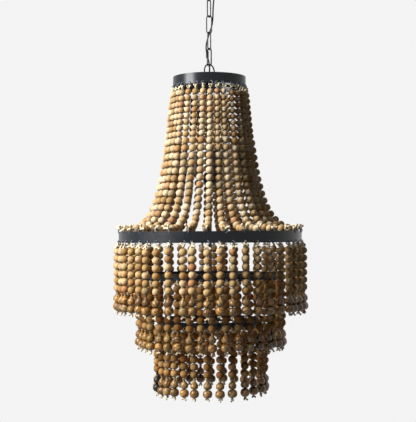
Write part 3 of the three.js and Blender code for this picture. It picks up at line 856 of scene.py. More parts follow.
# The loop's wire, thicker at the weld on one bar by the weld times e to the minus height squared,
# with the height in wire radii
def loopWire(length, width, wire, twist, middle, weld=0.0, sides=16):
    line = loopLine(length, width, wire, twist, middle)
    angle = math.radians(twist)
    square = (-math.sin(angle), math.cos(angle), 0)
    height = (line[:, 2] - middle) / wire
    side = line @ np.array([math.cos(angle), math.sin(angle), 0])
    swell = 1 + weld * np.exp(-height ** 2) * (side > 0)
    rings = tubeRings(line * millimetre, wire * swell * millimetre, sides, square, closed=True)
    return skinOver(rings, closed=True)


# A round ring of wire, without marks so that it joins a turned shape
def roundRing(size):
    ring = loopWire(size["size"], size["size"], size["wire"], size["twist"], size["middle"], sides=18)
    return dict(ring, marks={})


# The gland is ribbed outside: there its radius grows by the rib's share times the cosine of its
# turn times the number of ribs
def makeCeilingFitting():
    canopy = inMetres(turned(canopySizes["profile"], canopySizes["segments"], closed=True))
    body = "ceiling_fitting"
    sharp = sharpAngles["turned"]
    makePiece("canopyCup", canopy, body, "blackSteel", ["canopy"], sharp)
    collar = inMetres(turned(collarSizes["profile"], collarSizes["segments"]))
    ring = together([collar, roundRing(canopySizes["ring"])])
    makePiece("canopyRing", ring, body, "blackSteel", ["canopy_loop"], sharp)
    gland = turned(glandSizes["profile"], glandSizes["segments"], closed=True)
    flat = gland["points"][:, :2]
    turn = np.arctan2(flat[:, 1], flat[:, 0])
    outer = (gland["points"][:, 2] < glandSizes["ribTop"]) & (np.hypot(*flat.T) > glandSizes["ribInside"])
    rib = glandSizes["ribDepth"] / glandSizes["ribRadius"] * np.cos(glandSizes["ribs"] * turn[outer])
    flat[outer] *= (1 + rib)[:, None]
    gland = inMetres(gland, glandSizes["x"], glandSizes["y"])
    makePiece("cordGland", gland, body, "holderPlastic", ["cord_gland"], sharp)
    setMaterial("ceiling_bracket", "blackSteel")


makeCeilingFitting()
print("ceiling fitting made")

# Chain: welded links, and a quick link that closes with a six-sided sleeve
chainSizes = {
    "link": {"length": 47, "width": 15.5, "wire": 1.5, "weld": 0.16},
    "twists": [-60, 50, -10, 55],
    "middles": [-88.2, -128.9, -169.6, -210.3],
    "quickLink": {"length": 47, "width": 16, "wire": 1.75, "twist": -40, "middle": -250.5},
    "mouth": (5.5, 12.5),
    "barSteps": 24,
    "tubeSides": 16,
    "stemSegments": 40,
    "sleeve": {
        "acrossFlats": 6.2, "bore": 2.02, "bottom": -1.5, "top": 15.5, "faceShare": 0.97,
        "shoulderShare": 1.06, "shoulder": 0.5, "chamfer": 0.9, "segments": 48,
    },
    "hangLoop": {"size": 38, "wire": 1.75, "twist": 45, "middle": -285.7},
    "stem": [
        (0, -331.9), (5.2, -331.9), (5.9, -331.4), (6, -330.8), (6, -302.6), (5.6, -301.4),
        (4.6, -300.9), (0, -300.9),
    ],
}


# A six-sided bar with a round bore: at each turn the outside reaches the flat's distance over the
# cosine of the turn from the flat's middle, but no further than the chamfer's radius
def hexSleeve(size):
    flat = size["acrossFlats"] / 2
    bottom, top, segments = size["bottom"], size["top"], size["segments"]
    limits = (
        (0, flat * size["faceShare"]), (size["shoulder"], flat * size["shoulderShare"]),
        (size["chamfer"], flat / math.cos(math.pi / 6)),
    )
    stations = [(bottom + step, limit) for step, limit in limits]
    stations += [(top - step, limit) for step, limit in reversed(limits)]
    turn = fullTurn(segments)
    away = (turn + math.pi / 6) % (math.pi / 3) - math.pi / 6
    outside = [(np.minimum(flat / np.cos(away), limit), height) for height, limit in stations]
    inside = [(np.full(segments, size["bore"]), height) for height in (top, bottom)]
    grid = [
        np.stack([radius * np.cos(turn), radius * np.sin(turn), np.full(segments, height)], -1)
        for radius, height in outside + inside
    ]
    points = np.concatenate(grid)
    quads = gridCells(len(grid), segments, closed=True)
    return {"points": points, "quads": quads, "tris": np.zeros((0, 3), int), "marks": {}}


# Four links, then the quick link: its wire starts and ends at the two sides of the mouth
def makeChain():
    link = chainSizes["link"]
    for i, (twist, middle) in enumerate(zip(chainSizes["twists"], chainSizes["middles"])):
        shape = loopWire(link["length"], link["width"], link["wire"], twist, middle, link["weld"])
        node = f"chain_link_{i + 1}"
        makePiece(f"chainLink_{i + 1}", shape, node, "chainSteel", [node])

    quick = chainSizes["quickLink"]
    line = loopLine(quick["length"], quick["width"], quick["wire"], 0, 0, barSteps=chainSizes["barSteps"])
    arc = quick["width"] / 2 - quick["wire"]
    low, high = chainSizes["mouth"]
    straight = quick["length"] / 2 - quick["wire"] - arc
    onBar = (abs(line[:, 0] + arc) < nearly) & (abs(line[:, 2]) < straight + nearly)
    kept = line[~(onBar & (line[:, 2] > low) & (line[:, 2] < high))]
    first = int(np.argmax((abs(kept[:, 0] + arc) < nearly) & (kept[:, 2] <= low)))
    kept = np.roll(kept, -first, 0)
    kept = np.vstack([[-arc, 0, low], kept, [-arc, 0, high]])
    spin = turnsAbout(2, quick["twist"])
    kept = kept @ spin.T + np.array([0, 0, quick["middle"]])
    radius = quick["wire"] * millimetre
    rings = tubeRings(kept * millimetre, radius, chainSizes["tubeSides"], spin @ np.array([0, 1, 0]))
    makePiece(
        "quickLinkBow", skinOver(rings), "quick_link", "chainSteel", ["quick_link"],
        sharpAngles["wire"],
    )

    sleeve = hexSleeve(chainSizes["sleeve"])
    sleeve["points"] = (sleeve["points"] + np.array([-arc, 0, 0])) @ spin.T
    makePiece(
        "quickLinkNut", inMetres(sleeve, z=quick["middle"]), "quick_link_sleeve",
        "threadedSteel", ["quick_link_sleeve"], sharpAngles["sleeve"],
    )

    stem = inMetres(turned(chainSizes["stem"], chainSizes["stemSegments"]))
    loop = together([roundRing(chainSizes["hangLoop"]), stem])
    makePiece(
        "hangingLoop", loop, "lamp", "blackSteel", ["hang_loop"], sharpAngles["turned"]
    )
    setMaterial("hang_loop_nut", "chainSteel")


makeChain()
print("chain made")

# Where the strings hang: the azimuths of a band's holes, even but for what the front shows
stringPlan = {
    "first": {
        "count": 48, "start": -1.9, "firstSeen": -9,
        "seen": [2.2, 0.2, 0.9, 0.8, -1, -0.7, -0.4, 1.4, -0.8, 0.2, 0, -0.3, -0.4, -0.2, 0.4, 1.2, 2.8],
    },
    "second": {
        "count": 40, "start": -6.6, "firstSeen": -6,
        "seen": [-1, -2.4, -0.4, -0.8, -1.5, -0.6, -0.8, -1.7, 0.1, 0.1, 1.4, 2.2, 2.4],
    },
    "third": {
        "count": 28, "start": -1.17, "firstSeen": -6,
        "seen": [-1.4, 2.6, 0.9, -0.3, -2.0, -3.2, -2.5, -1.8, -2.8, -0.3, -0.6, 3.0, 1.4],
    },
    "drapeTop": {
        "count": 33, "start": 1.2, "firstSeen": -6, "backShift": -2.3,
        "seen": [1.4, 0.6, -2.8, -1.6, -0.1, 0.8, 0.8, -0.1, -1.6, 1.7, 1.7, 0.8, -1.4],
    },
    "drapeEnd": {
        "count": 33, "start": -2.3, "firstSeen": -7,
        "seen": [-0.5, 1, -0.3, -0.2, 0.1, -1.2, -0.2, -0.4, 0.2, 1.1, -0.2, -0.2, 0.6, 0.8],
    },
    "spread": 0.4,
    "spreadLimit": 0.8,
}


# Even azimuths with a small random offset, shifted toward the back where that is set; the ones
# that the front shows get their own offsets
def stringAzimuths(name):
    plan = stringPlan[name]
    count = plan["count"]
    even = plan["start"] + 360 / count * np.arange(count)
    limit = stringPlan["spreadLimit"]
    offsets = chance.normal(0, stringPlan["spread"], count).clip(-limit, limit)
    offsets += plan.get("backShift", 0) * np.clip(-np.cos(np.radians(even)), 0, 1)
    seen = (np.arange(len(plan["seen"])) + plan["firstSeen"]) % count
    offsets[seen] = plan["seen"]
    return even + offsets


azimuths = {name: stringAzimuths(name) for name in ("first", "second", "third", "drapeTop", "drapeEnd")}

# Steel bands, pierced in a row for each curtain of strings
bandSizes = {
    "wall": 1.5,
    "holeRadius": 1.5,
    "holeInset": 4.0,
    "edgeRow": 1.4,
    "plainRow": 3,
    "bevel": 0.22,
    "bevelSteps": 2,
    "bevelAngle": 50,
    "bands": {
        "top": {"radius": 90, "top": -301.2, "depth": 25, "columns": 330, "low": "drapeTop"},
        "middle": {
            "radius": 225, "top": -681.9, "depth": 26.6, "columns": 528, "low": "first", "high": "drapeEnd",
        },
        "second": {"radius": 172, "top": -785, "depth": 13.5, "columns": 320, "low": "second"},
        "third": {"radius": 128.5, "top": -896.4, "depth": 17, "columns": 336, "low": "third"},
    },
}


# A strip bent to a circle: column c and row r lie at the band's radius, the row's height and an
# azimuth that slides the columns, so that the column of each hole meets its string. The four cells
# round a hole are traded for eight that run from their outer corners to an eight-sided hole
def piercedStrip(size):
    columns, depth, radius = size["columns"], size["depth"], size["radius"]
    inset = bandSizes["holeInset"]
    cell = inset - bandSizes["edgeRow"]
    upper = "high" in size
    rows = [0, inset - cell, inset, inset + cell]
    if upper:
        rows += [depth / 2, depth - inset - cell, depth - inset, depth - inset + cell]
    else:
        rows += [depth - bandSizes["plainRow"]]
    rows = np.array(rows + [depth], float)
    spots = np.arange(columns)

    def slide(name):
        places = azimuths[name]
        stops = np.arange(len(places) + 1) * columns / len(places)
        return np.interp(spots, stops, np.append(places, places[0] + 360))

    def holeColumns(name):
        count = len(azimuths[name])
        return np.arange(count) * columns // count

    low = slide(size["low"])
    high = slide(size["high"]) if upper else low
    share = np.clip((rows - rows[3]) / (rows[-4] - rows[3]), 0, 1) if upper else np.zeros(len(rows))
    angle = low[None, :] * (1 - share[:, None]) + high[None, :] * share[:, None]
    flat = np.stack([angle, np.broadcast_to(rows[:, None], angle.shape)], -1).reshape(-1, 2)
    quads = gridCells(len(rows), columns)

    holes = [(2, holeColumns(size["low"]))]
    if upper:
        holes.append((len(rows) - 3, holeColumns(size["high"])))
    row = np.concatenate([np.full(len(spot), r) for r, spot in holes])
    column = np.concatenate([spot for r, spot in holes])
    middle = row * columns + column
    around = np.array([(0, 1), (1, 1), (1, 0), (1, -1), (0, -1), (-1, -1), (-1, 0), (-1, 1)])
    outer = (row[:, None] + around[:, 0]) * columns + (column[:, None] + around[:, 1]) % columns
    turn = np.arange(8) * math.pi / 4
    reach = bandSizes["holeRadius"]
    ring = np.stack([np.degrees(reach / radius * np.cos(turn)), reach * np.sin(turn)], -1)
    rims = flat[middle][:, None, :] + ring
    inner = len(flat) + np.arange(len(middle) * 8).reshape(-1, 8)
    patches = np.stack([outer, np.roll(outer, -1, 1), np.roll(inner, -1, 1), inner], -1).reshape(-1, 4)
    quads = np.vstack([quads[~np.isin(quads, middle).any(1)], patches])
    flat = np.vstack([flat, rims.reshape(-1, 2)])
    used, quads = np.unique(quads, return_inverse=True)
    flat = flat[used]
    turn = np.radians(flat[:, 0])
    points = np.stack([radius * np.sin(turn), -radius * np.cos(turn), size["top"] - depth + flat[:, 1]], -1)
    return {"points": points, "quads": quads.reshape(-1, 4), "tris": np.zeros((0, 3), int), "marks": {}}


# A pierced strip thickened inward by the wall, with rounded edges
def makeBands():
    for name, size in bandSizes["bands"].items():
        node = f"{name}_band"
        piece = makePiece(
            f"{name}Band", inMetres(piercedStrip(size)), "lamp", "blackSteel", [node]
        )
        wall = piece.modifiers.new("wall", "SOLIDIFY")
        wall.thickness = bandSizes["wall"] * millimetre
        wall.offset = -1
        edge = piece.modifiers.new("edge", "BEVEL")
        edge.width = bandSizes["bevel"] * millimetre
        edge.segments = bandSizes["bevelSteps"]
        edge.limit_method = "ANGLE"
        edge.angle_limit = math.radians(bandSizes["bevelAngle"])
        edge.harden_normals = True


makeBands()
print("bands made")

# Frame: spiders, the centre rod and three thin rods to the second band
rodSizes = {
    "radius": 4,
    "endRadius": 3.4,
    "chamfer": 0.7,
    "segments": 24,
    "top": -332.2,
    "bottom": -910.9,
    "frameRadius": 1.7,
    "frameAzimuths": (-40, 80, 200),
    "frameTop": (16, -316),
    "frameFoot": (168.7, -791.75),
    "frameSteps": 12,
    "frameSides": 12,
}


# The centre rod is turned, and each frame rod runs straight from its head to its foot
def makeRods():
    bottom, top = rodSizes["bottom"], rodSizes["top"]
    radius, endRadius, chamfer = rodSizes["radius"], rodSizes["endRadius"], rodSizes["chamfer"]
    profile = [
        (0, bottom), (endRadius, bottom), (radius, bottom + chamfer), (radius, top - chamfer),
        (endRadius, top), (0, top),
    ]
    makePiece(
        "centreRod", inMetres(turned(profile, rodSizes["segments"])), "lamp", "threadedSteel",
        ["centre_rod"], sharpAngles["rod"],
    )
    share = np.linspace(0, 1, rodSizes["frameSteps"])[:, None]
    frameRadius = rodSizes["frameRadius"] * millimetre
    for i, turn in enumerate(bandAxes(rodSizes["frameAzimuths"])):
        head, foot = (
            turn[:, 0] * reach + np.array([0, 0, height])
            for reach, height in (rodSizes["frameTop"], rodSizes["frameFoot"])
        )
        line = (1 - share) * head + share * foot
        rings = tubeRings(line * millimetre, frameRadius, rodSizes["frameSides"], turn[:, 1])
        makePiece(
            f"frameRod_{i + 1}", skinOver(rings), "lamp", "blackSteel",
            [f"frame_rod_{i + 1}"], sharpAngles["wire"],
        )
    for node in ("top_spider", "middle_spider", "second_spider", "third_spider"):
        setMaterial(node, "blackSteel")


makeRods()
print("rods made")

# Lamp holders on their cup, and the bulbs
lightSizes = {
    "cup": [
        (4.6, -571), (9, -571), (11, -570.6), (13, -568.8), (19, -550.5), (20.4, -548.6), (22.4, -548),
        (41.6, -548), (42.7, -547.6), (43, -546.5), (42.7, -545.4), (41.6, -545), (4.6, -545),
    ],
    "places": (20, 140, 260),
    "reach": 30,
    "holder": [
        (0, -544.7), (11.4, -544.7), (12.2, -544.3), (12.5, -543.4), (12.5, -534), (11.6, -533.4),
        (11.6, -532.6), (12.5, -532), (12.5, -486), (12.1, -485), (11.2, -484.7), (8, -484.7),
        (7.8, -485.6), (7.8, -510.6), (0, -510.7),
    ],
    "glass": [
        (6.4, -484.2), (7.2, -483.4), (9.6, -478), (13, -470), (16, -461.5), (17.4, -454), (17.3, -446),
        (15.6, -436), (12.6, -427), (9, -417.6), (5.4, -409), (3, -403.6), (1.6, -401.2), (0, -400.5),
    ],
    "glassWall": 0.6,
    "tipRadius": 0.6,
    "cupSegments": 72,
    "segments": 40,
    "capSegments": 36,
    "cap": [
        (0, -509.3), (2.6, -509.3), (3.4, -508.6), (5.4, -506.8), (6.5, -505.6), (6.8, -504.4), (6.8, -486.6),
        (6.7, -485), (6.3, -484.3), (0, -484.3),
    ],
}


glassFinish = {
    "hazeScale": 60.0,
    "dark": nodeColour(255, 236, 206),
    "pale": nodeColour(255, 246, 230),
    "shader": {"Roughness": 0.03, "IOR": 1.45, "Transmission Weight": 1.0},
}


# Clear glass whose tint drifts between two colours with a soft noise
def glassMaterial(name, settings):
    material, tree, shader = newMaterial(name)
    place = addNode(tree, "ShaderNodeTexCoord").outputs["Object"]
    haze = noiseNode(tree, place, settings["hazeScale"], 2.0)["Fac"]
    tint = mixColours(tree, haze, settings["dark"], settings["pale"])
    fillSockets(tree, shader, {"Base Color": tint})
    fillSockets(tree, shader, settings["shader"])
    return material


# The glass is the outer profile and, from its tip back down, the same one a wall's thickness in
def makeLights():
    materials["bulbGlass"] = glassMaterial("bulbGlass", glassFinish)
    sharp = sharpAngles["turned"]
    segments = lightSizes["segments"]
    cup = inMetres(turned(lightSizes["cup"], lightSizes["cupSegments"], closed=True))
    makePiece("wiringCup", cup, "lamp", "blackSteel", ["wiring_cup"], sharp)
    wall = lightSizes["glassWall"]
    outer = np.array(lightSizes["glass"])
    inner = outer - [wall, 0]
    inner[:, 0] = inner[:, 0].clip(0)
    inner[-1] = (0, outer[-1, 1] - wall)
    inner[-2, 0] = max(inner[-2, 0], lightSizes["tipRadius"])
    shell = np.vstack([inner[::-1], outer])
    for i, azimuth in enumerate(lightSizes["places"]):
        number = i + 1
        bulb = f"bulb_{number}"
        x, y, z = bandAxes(azimuth)[:, 0] * lightSizes["reach"]
        holder = inMetres(turned(lightSizes["holder"], segments), x, y)
        makePiece(
            f"lampHolder_{number}", holder, "lamp", "holderPlastic",
            [f"lamp_holder_{number}"], sharp,
        )
        glass = inMetres(turned(shell, segments), x, y)
        makePiece(f"bulbGlass_{number}", glass, bulb, "bulbGlass", [bulb])
        cap = inMetres(turned(lightSizes["cap"], lightSizes["capSegments"]), x, y)
        makePiece(f"bulbCap_{number}", cap, bulb, "brass", [bulb], sharp)


makeLights()
print("lights made")

# Beads. The round profile has radius 1 and half length 1, and is stretched by a radius, the same
# again and a half length, in millimetres. The other two profiles are in millimetres already
beadShapes = {
    "segments": 12,
    "sizeSpread": 0.03,
    "sizeLimit": 0.06,
    "lengthShare": 0.5,
    "tiltSpread": 2.6,
    "grainUnit": 9,
    "grainShift": 1.6,
    "grainReach": 60,
    "round": [
        (0, -0.74), (0.22, -0.97), (0.63, -0.82), (0.92, -0.45), (1, 0), (0.92, 0.45), (0.63, 0.82),
        (0.22, 0.97), (0, 0.74),
    ],
    "gourd": [
        (0, -11.8), (1.6, -13), (6.1, -12.3), (9.2, -9.2), (10, -5.2), (9.3, -1.4), (7, 2), (4.3, 4.6),
        (2.8, 7.2), (2.7, 8.8), (4, 10), (4.4, 11.5), (3.2, 12.8), (1.5, 12.9), (0, 11.8),
    ],
    "end": [
        (0, -8.6), (1.8, -10), (6.7, -9), (10.5, -5.4), (11.5, -0.4), (10.5, 4.8), (7.1, 8.6),
        (1.8, 10), (0, 8.6),
    ],
    "tierRound": (9.7, 9.7, 8.9),
    "drapeSmall": (7.9, 7.9, 7.3),
    "drapeRound": (9.4, 9.4, 8.7),
    # Hole marks: darker end grain at the holes, and painted shade in the pits and the crease where beads
    # touch
    "pitDarkAndShade": 1.0,
    "rimDarkAndShade": 0.8,
    "shoulderDarkAndShade": 0.28,
}
beadTones = {
    "natural": {
        "colours": [
            (220, 200, 166), (206, 180, 140), (192, 162, 118), (178, 144, 98), (174, 158, 124),
            (188, 144, 104),
        ],
        "shares": [0.27, 0.31, 0.22, 0.12, 0.04, 0.04],
    },
    "varnished": {
        "colours": [(178, 130, 62), (152, 110, 50), (166, 130, 74), (128, 90, 42)],
        "shares": [0.34, 0.3, 0.2, 0.16],
    },
    "black": {"colours": [(24, 22, 22)], "shares": [1.0]},
    "hueSpread": 0.018,
    "levelSpread": 0.07,
    "brightest": 0.95,
    # Painted shade on the tiers' beads: the first tier a little darker and browner, the two lower tiers much
    # darker, as less light reaches the lamp's lower part
    "firstTierShade": (0.88, 0.8, 0.66),
    "lowerTierShade": (0.68, 0.5, 0.3),
}


# How dark each point of a bead is painted near its hole: most at the pit's middle, less at its rim and
# shoulder. This is darker end grain at the hole, and painted shade in the pit and the crease where two beads
# touch. The rings come first in a turned shape, and the middles of its two pits are the last points
def drillMarks(shape, segments):
    count = len(shape["points"])
    marks = np.zeros((count, 1))
    for rings, mark in ((2, beadShapes["shoulderDarkAndShade"]), (1, beadShapes["rimDarkAndShade"])):
        marks[:rings * segments] = mark
        marks[count - 2 - rings * segments:] = mark
    marks[-2:] = beadShapes["pitDarkAndShade"]
    return marks


# A colour of the palette for each bead, times e to a small random power for the whole and then for
# each of its three parts
def pickTones(kind, count):
    tones = beadTones[kind]
    palette = np.array([linearColour(*colour) for colour in tones["colours"]])
    picked = palette[chance.choice(len(palette), count, p=tones["shares"])]
    picked = picked * np.exp(chance.normal(0, beadTones["levelSpread"], (count, 1)))
    picked = picked * np.exp(chance.normal(0, beadTones["hueSpread"], (count, 3)))
    return np.concatenate([picked, np.ones((count, 1))], 1).clip(0, beadTones["brightest"])


# Beads at their places: each copy is stretched, turned and moved, and carries its own grain axis,
# tone and hole marks, which are darker end grain and painted shade where beads touch. Grain lengths are in
# bead radii, moved at random through the pattern
def beadsAt(kind, places, axes, stretch, tones):
    segments, limit = beadShapes["segments"], beadShapes["sizeLimit"]
    shape = turned(beadShapes[kind], segments)
    count = len(places)
    wobble = chance.normal(0, beadShapes["sizeSpread"], (count, 3)).clip(-limit, limit)
    wobble = 1 + wobble * [1, 1, beadShapes["lengthShare"]]
    wobble[:, 1] = wobble[:, 0]
    size = np.broadcast_to(np.asarray(stretch, float), (count, 3)) * wobble
    tilt = turnsAbout(0, chance.normal(0, beadShapes["tiltSpread"], count))
    tilt = tilt @ turnsAbout(2, chance.uniform(0, 360, count))
    points = placeCopies(shape, places, axes @ tilt, size)
    scale = size[:, None, :] / beadShapes["grainUnit"]
    grainTurn = randomTurns(count)
    reach = beadShapes["grainShift"]
    shift = chance.uniform(-reach, reach, (count, 3))
    shift[:, 2] = chance.uniform(0, beadShapes["grainReach"], count)
    grain = np.einsum("nij,nkj->nki", grainTurn, shape["points"][None] * scale) + shift[:, None, :]
    spread = (count, len(shape["points"]))
    # Painted shade near the holes and where beads touch, with darker end grain
    drill = np.broadcast_to(drillMarks(shape, segments)[None], (*spread, 1))
    tone = np.broadcast_to(tones[:, None, :], (*spread, 4))
    points = points * millimetre
    return spreadCopies(points, shape["quads"], shape["tris"], grain=grain, tone=tone, drill=drill)


# Ties, in millimetres in a frame of outward, sideways and up
tieSizes = {
    "twine": 1.1,
    "sides": 5,
    "core": 0.8,
    "knotSteps": 14,
    "knotScale": 0.8,
    "knotDepth": 1.6,
    "knotSpin": 35,
    "knotTilt": 12,
    "loopSteps": 10,
    "loopHalves": (0.35, 1.5),
    "loopThickness": 1.2,
    "tailStart": 1.4,
    "tailFlare": 0.25,
    "tailSpread": (0.75, 1.2),
    "fray": [0.8, 0.9, 0.9, 1.3, 1.45],
    "sideShare": 0.31,
    "ring": 5.2,
    "ringWire": 0.95,
    "ringOut": 0.2,
    "ringTurns": (44, 66),
    "ringSteps": 14,
}


# A closed line through (sin t + 2 sin 2t, cos t - 2 cos 2t, minus the depth times sin 3t), a simple knot
def knotLine(scale):
    t = fullTurn(tieSizes["knotSteps"])
    depth = -tieSizes["knotDepth"] * np.sin(3 * t)
    knot = np.stack([np.sin(t) + 2 * np.sin(2 * t), np.cos(t) - 2 * np.cos(2 * t), depth], -1)
    return knot * scale


# Lines in the frame of each string, as thin tubes
def tieTubes(lines, places, axes, radius, closed=False):
    lines = np.broadcast_to(lines, (len(places),) + lines.shape[-2:])
    lines = places[:, None, :] + np.einsum("nij,nkj->nki", axes, lines)
    reference = axes[:, None, :, 0] + tieSizes["sideShare"] * axes[:, None, :, 1]
    radius = np.asarray(radius) * millimetre
    return skinOver(tubeRings(lines * millimetre, radius, tieSizes["sides"], reference, closed), closed)


# A knot, a long loop up to a ring if it has a height, and two frayed ends. Each end leaves the
# knot at the rise above level, spread at random, and bends by the droop over its length
def twineKnots(places, axes, size):
    count = len(places)
    twine, spin = tieSizes["twine"], tieSizes["knotSpin"]
    turns = turnsAbout(2, chance.uniform(-spin, spin, count))
    tilt = axes @ (turns @ turnsAbout(0, chance.normal(0, tieSizes["knotTilt"], count)))
    knot = knotLine(size["knot"] * tieSizes["knotScale"])
    parts = [tieTubes(knot, places, tilt, twine, closed=True)]
    if size["loop"]:
        t = fullTurn(tieSizes["loopSteps"])
        outHalf, sideHalf = tieSizes["loopHalves"]
        loop = np.stack([outHalf * np.sin(t), sideHalf * np.sin(t), size["loop"] * (1 - np.cos(t)) / 2], -1)
        parts.append(tieTubes(loop, places, tilt, twine * tieSizes["loopThickness"], closed=True))
    fray = np.array(tieSizes["fray"]) * twine * size["thick"]
    share = np.linspace(0, 1, len(fray))[None, :]
    for side in (-1, 1):
        rise = np.radians(size["rise"] + chance.normal(0, size["spread"], (count, 1)))
        length = size["tail"] * chance.uniform(*tieSizes["tailSpread"], (count, 1)) * share
        bend = rise - np.radians(size["droop"]) * share
        out = tieSizes["tailStart"] + tieSizes["tailFlare"] * length
        lines = np.stack([out, side * length * np.cos(bend), length * np.sin(bend)], -1)
        parts.append(tieTubes(lines, places, tilt, fray))
    return together(parts)


# The twine inside the beads
def threadCores(lines, reference):
    rings = tubeRings(lines * millimetre, tieSizes["core"] * millimetre, tieSizes["sides"], reference)
    return skinOver(rings)


# Wire rings, upright, each turned about the vertical out of the plane of outward and up
def wireRings(places, axes):
    t = fullTurn(tieSizes["ringSteps"])
    line = tieSizes["ring"] * np.stack([np.cos(t), np.zeros(len(t)), np.sin(t)], -1)
    count = len(places)
    turn = chance.choice((-1, 1), count) * chance.uniform(*tieSizes["ringTurns"], count)
    facing = axes @ turnsAbout(2, turn)
    lines = places[:, None, :] + np.einsum("nij,kj->nki", facing, line)
    reference = facing[:, None, :, 1]
    wire, sides = tieSizes["ringWire"] * millimetre, tieSizes["sides"]
    return skinOver(tubeRings(lines * millimetre, wire, sides, reference, closed=True), closed=True)


# Hanging tiers. Depths are below the band's lower edge. Each string leans a little at random, and
# the outer two of a group lean toward its middle, so that neighbouring groups swing clear
tierSizes = {
    "rounds": 6,
    "pitch": 17.8,
    "gourdLength": 26.0,
    "endLength": 20.0,
    "head": {
        "knot": 1.2, "loop": 8.0, "tail": 8.0, "rise": -4.0, "spread": 30.0, "droop": 24.0, "thick": 1.75,
    },
    "foot": {
        "knot": 1.3, "loop": 0.0, "tail": 6.4, "rise": -50.0, "spread": 24.0, "droop": -14.0, "thick": 1.6,
    },
    "headShare": 0.7,
    "footDepth": 2.6,
    "lean": 0.25,
    "outwardShare": 0.4,
    "edgeLean": 0.35,
    "dropSpread": 1.0,
    "dropLimit": 2,
    "coreDepths": (5.0, 60.0, 120.0),
    "coreEnd": 2,
    "ringRise": 0.2,
    "tiers": [
        # Each tier names the painted shade that darkens its beads
        {
            "name": "first", "band": "middle", "groups": 8, "strings": 6, "offset": 3, "gap": 11.5,
            "tint": "firstTierShade",
        },
        {
            "name": "second", "band": "second", "groups": 8, "strings": 5, "offset": 2, "gap": 9,
            "tint": "lowerTierShade",
        },
        {
            "name": "third", "band": "third", "groups": 7, "strings": 4, "offset": 2, "gap": 5,
            "tint": "lowerTierShade",
        },
    ],
    "overhang": 3.5,
    "blackString": ("third", 22),
}


# A string hangs from the band's reach. At a depth d it has moved sideways by d times its lean, and
# outward by d times its other lean and the outward share
def makeTier(tier):
    band = bandSizes["bands"][tier["band"]]
    edge = band["top"] - band["depth"]
    reach = band["radius"] + tierSizes["overhang"]
    plan = azimuths[tier["name"]]
    middleWall = band["radius"] - bandSizes["wall"] / 2
    name, gap = tier["name"], tier["gap"]
    blackTier, blackMember = tierSizes["blackString"]
    count, rounds, pitch = tier["strings"], tierSizes["rounds"], tierSizes["pitch"]
    limit = tierSizes["dropLimit"]
    edgeLean = math.tan(math.radians(tierSizes["edgeLean"]))
    for g in range(tier["groups"]):
        members = (g * count + np.arange(count) - tier["offset"]) % len(plan)
        axes = bandAxes(plan[members])
        lean = np.tan(np.radians(chance.normal(0, tierSizes["lean"], (count, 2))))
        lean[[0, -1], 1] = (np.abs(lean[[0, -1], 1]) + edgeLean) * [1, -1]
        drop = chance.normal(0, tierSizes["dropSpread"], count).clip(-limit, limit)

        def along(outward, depth):
            depth = np.broadcast_to(depth, (count,))
            moved = outward + lean[:, 0] * depth * tierSizes["outwardShare"]
            return (
                axes[:, :, 0] * moved[:, None] + axes[:, :, 1] * (lean[:, 1] * depth)[:, None]
                + np.array([0, 0, 1]) * (edge - depth)[:, None]
            )

        depths = gap + drop[:, None] + pitch * (np.arange(rounds) + 0.5)
        places = np.stack([along(reach, depths[:, i]) for i in range(rounds)], 1).reshape(-1, 3)
        tones = pickTones("natural", len(places))
        # Darkens the tier's beads by its painted shade
        tones[:, :3] *= beadTones[tier["tint"]]
        beads = beadsAt("round", places, np.repeat(axes, rounds, 0), beadShapes["tierRound"], tones)
        body = f"{name}_tier_strings_{g + 1}"
        makePiece(f"{name}TierBeads_{g + 1}", beads, body, "naturalWood", [body])

        gourdTop = gap + drop + pitch * rounds
        gourdPlaces = along(reach, gourdTop + tierSizes["gourdLength"] / 2)
        endPlaces = along(reach, gourdTop + tierSizes["gourdLength"] + tierSizes["endLength"] / 2)
        black = (members == blackMember) & (name == blackTier)
        for chosen, kind, title in ((~black, "varnished", "TurnedBeads"), (black, "black", "BlackBeads")):
            half = int(chosen.sum())
            if not half:
                continue
            tones = pickTones(kind, 2 * half)
            beads = together([
                beadsAt("gourd", gourdPlaces[chosen], axes[chosen], 1.0, tones[:half]),
                beadsAt("end", endPlaces[chosen], axes[chosen], 1.0, tones[half:]),
            ])
            makePiece(f"{name}Tier{title}_{g + 1}", beads, body, f"{kind}Wood", [body])

        bottom = gourdTop + tierSizes["gourdLength"] + tierSizes["endLength"]
        ties = [
            twineKnots(along(reach, gap * tierSizes["headShare"] + drop), axes, tierSizes["head"]),
            twineKnots(along(reach, bottom + tierSizes["footDepth"]), axes, tierSizes["foot"]),
        ]
        line = [along(reach, depth) for depth in (*tierSizes["coreDepths"], bottom + tierSizes["coreEnd"])]
        ties.append(threadCores(np.stack(line, 1), axes[:, None, :, 0]))
        makePiece(f"{name}TierTies_{g + 1}", together(ties), body, "twine", [body])
        rings = wireRings(along(middleWall + tieSizes["ringOut"], -tierSizes["ringRise"]), axes)
        makePiece(f"{name}TierRings_{g + 1}", rings, body, "hookWire", [body])


for tier in tierSizes["tiers"]:
    makeTier(tier)
    print(tier["name"], "tier made")

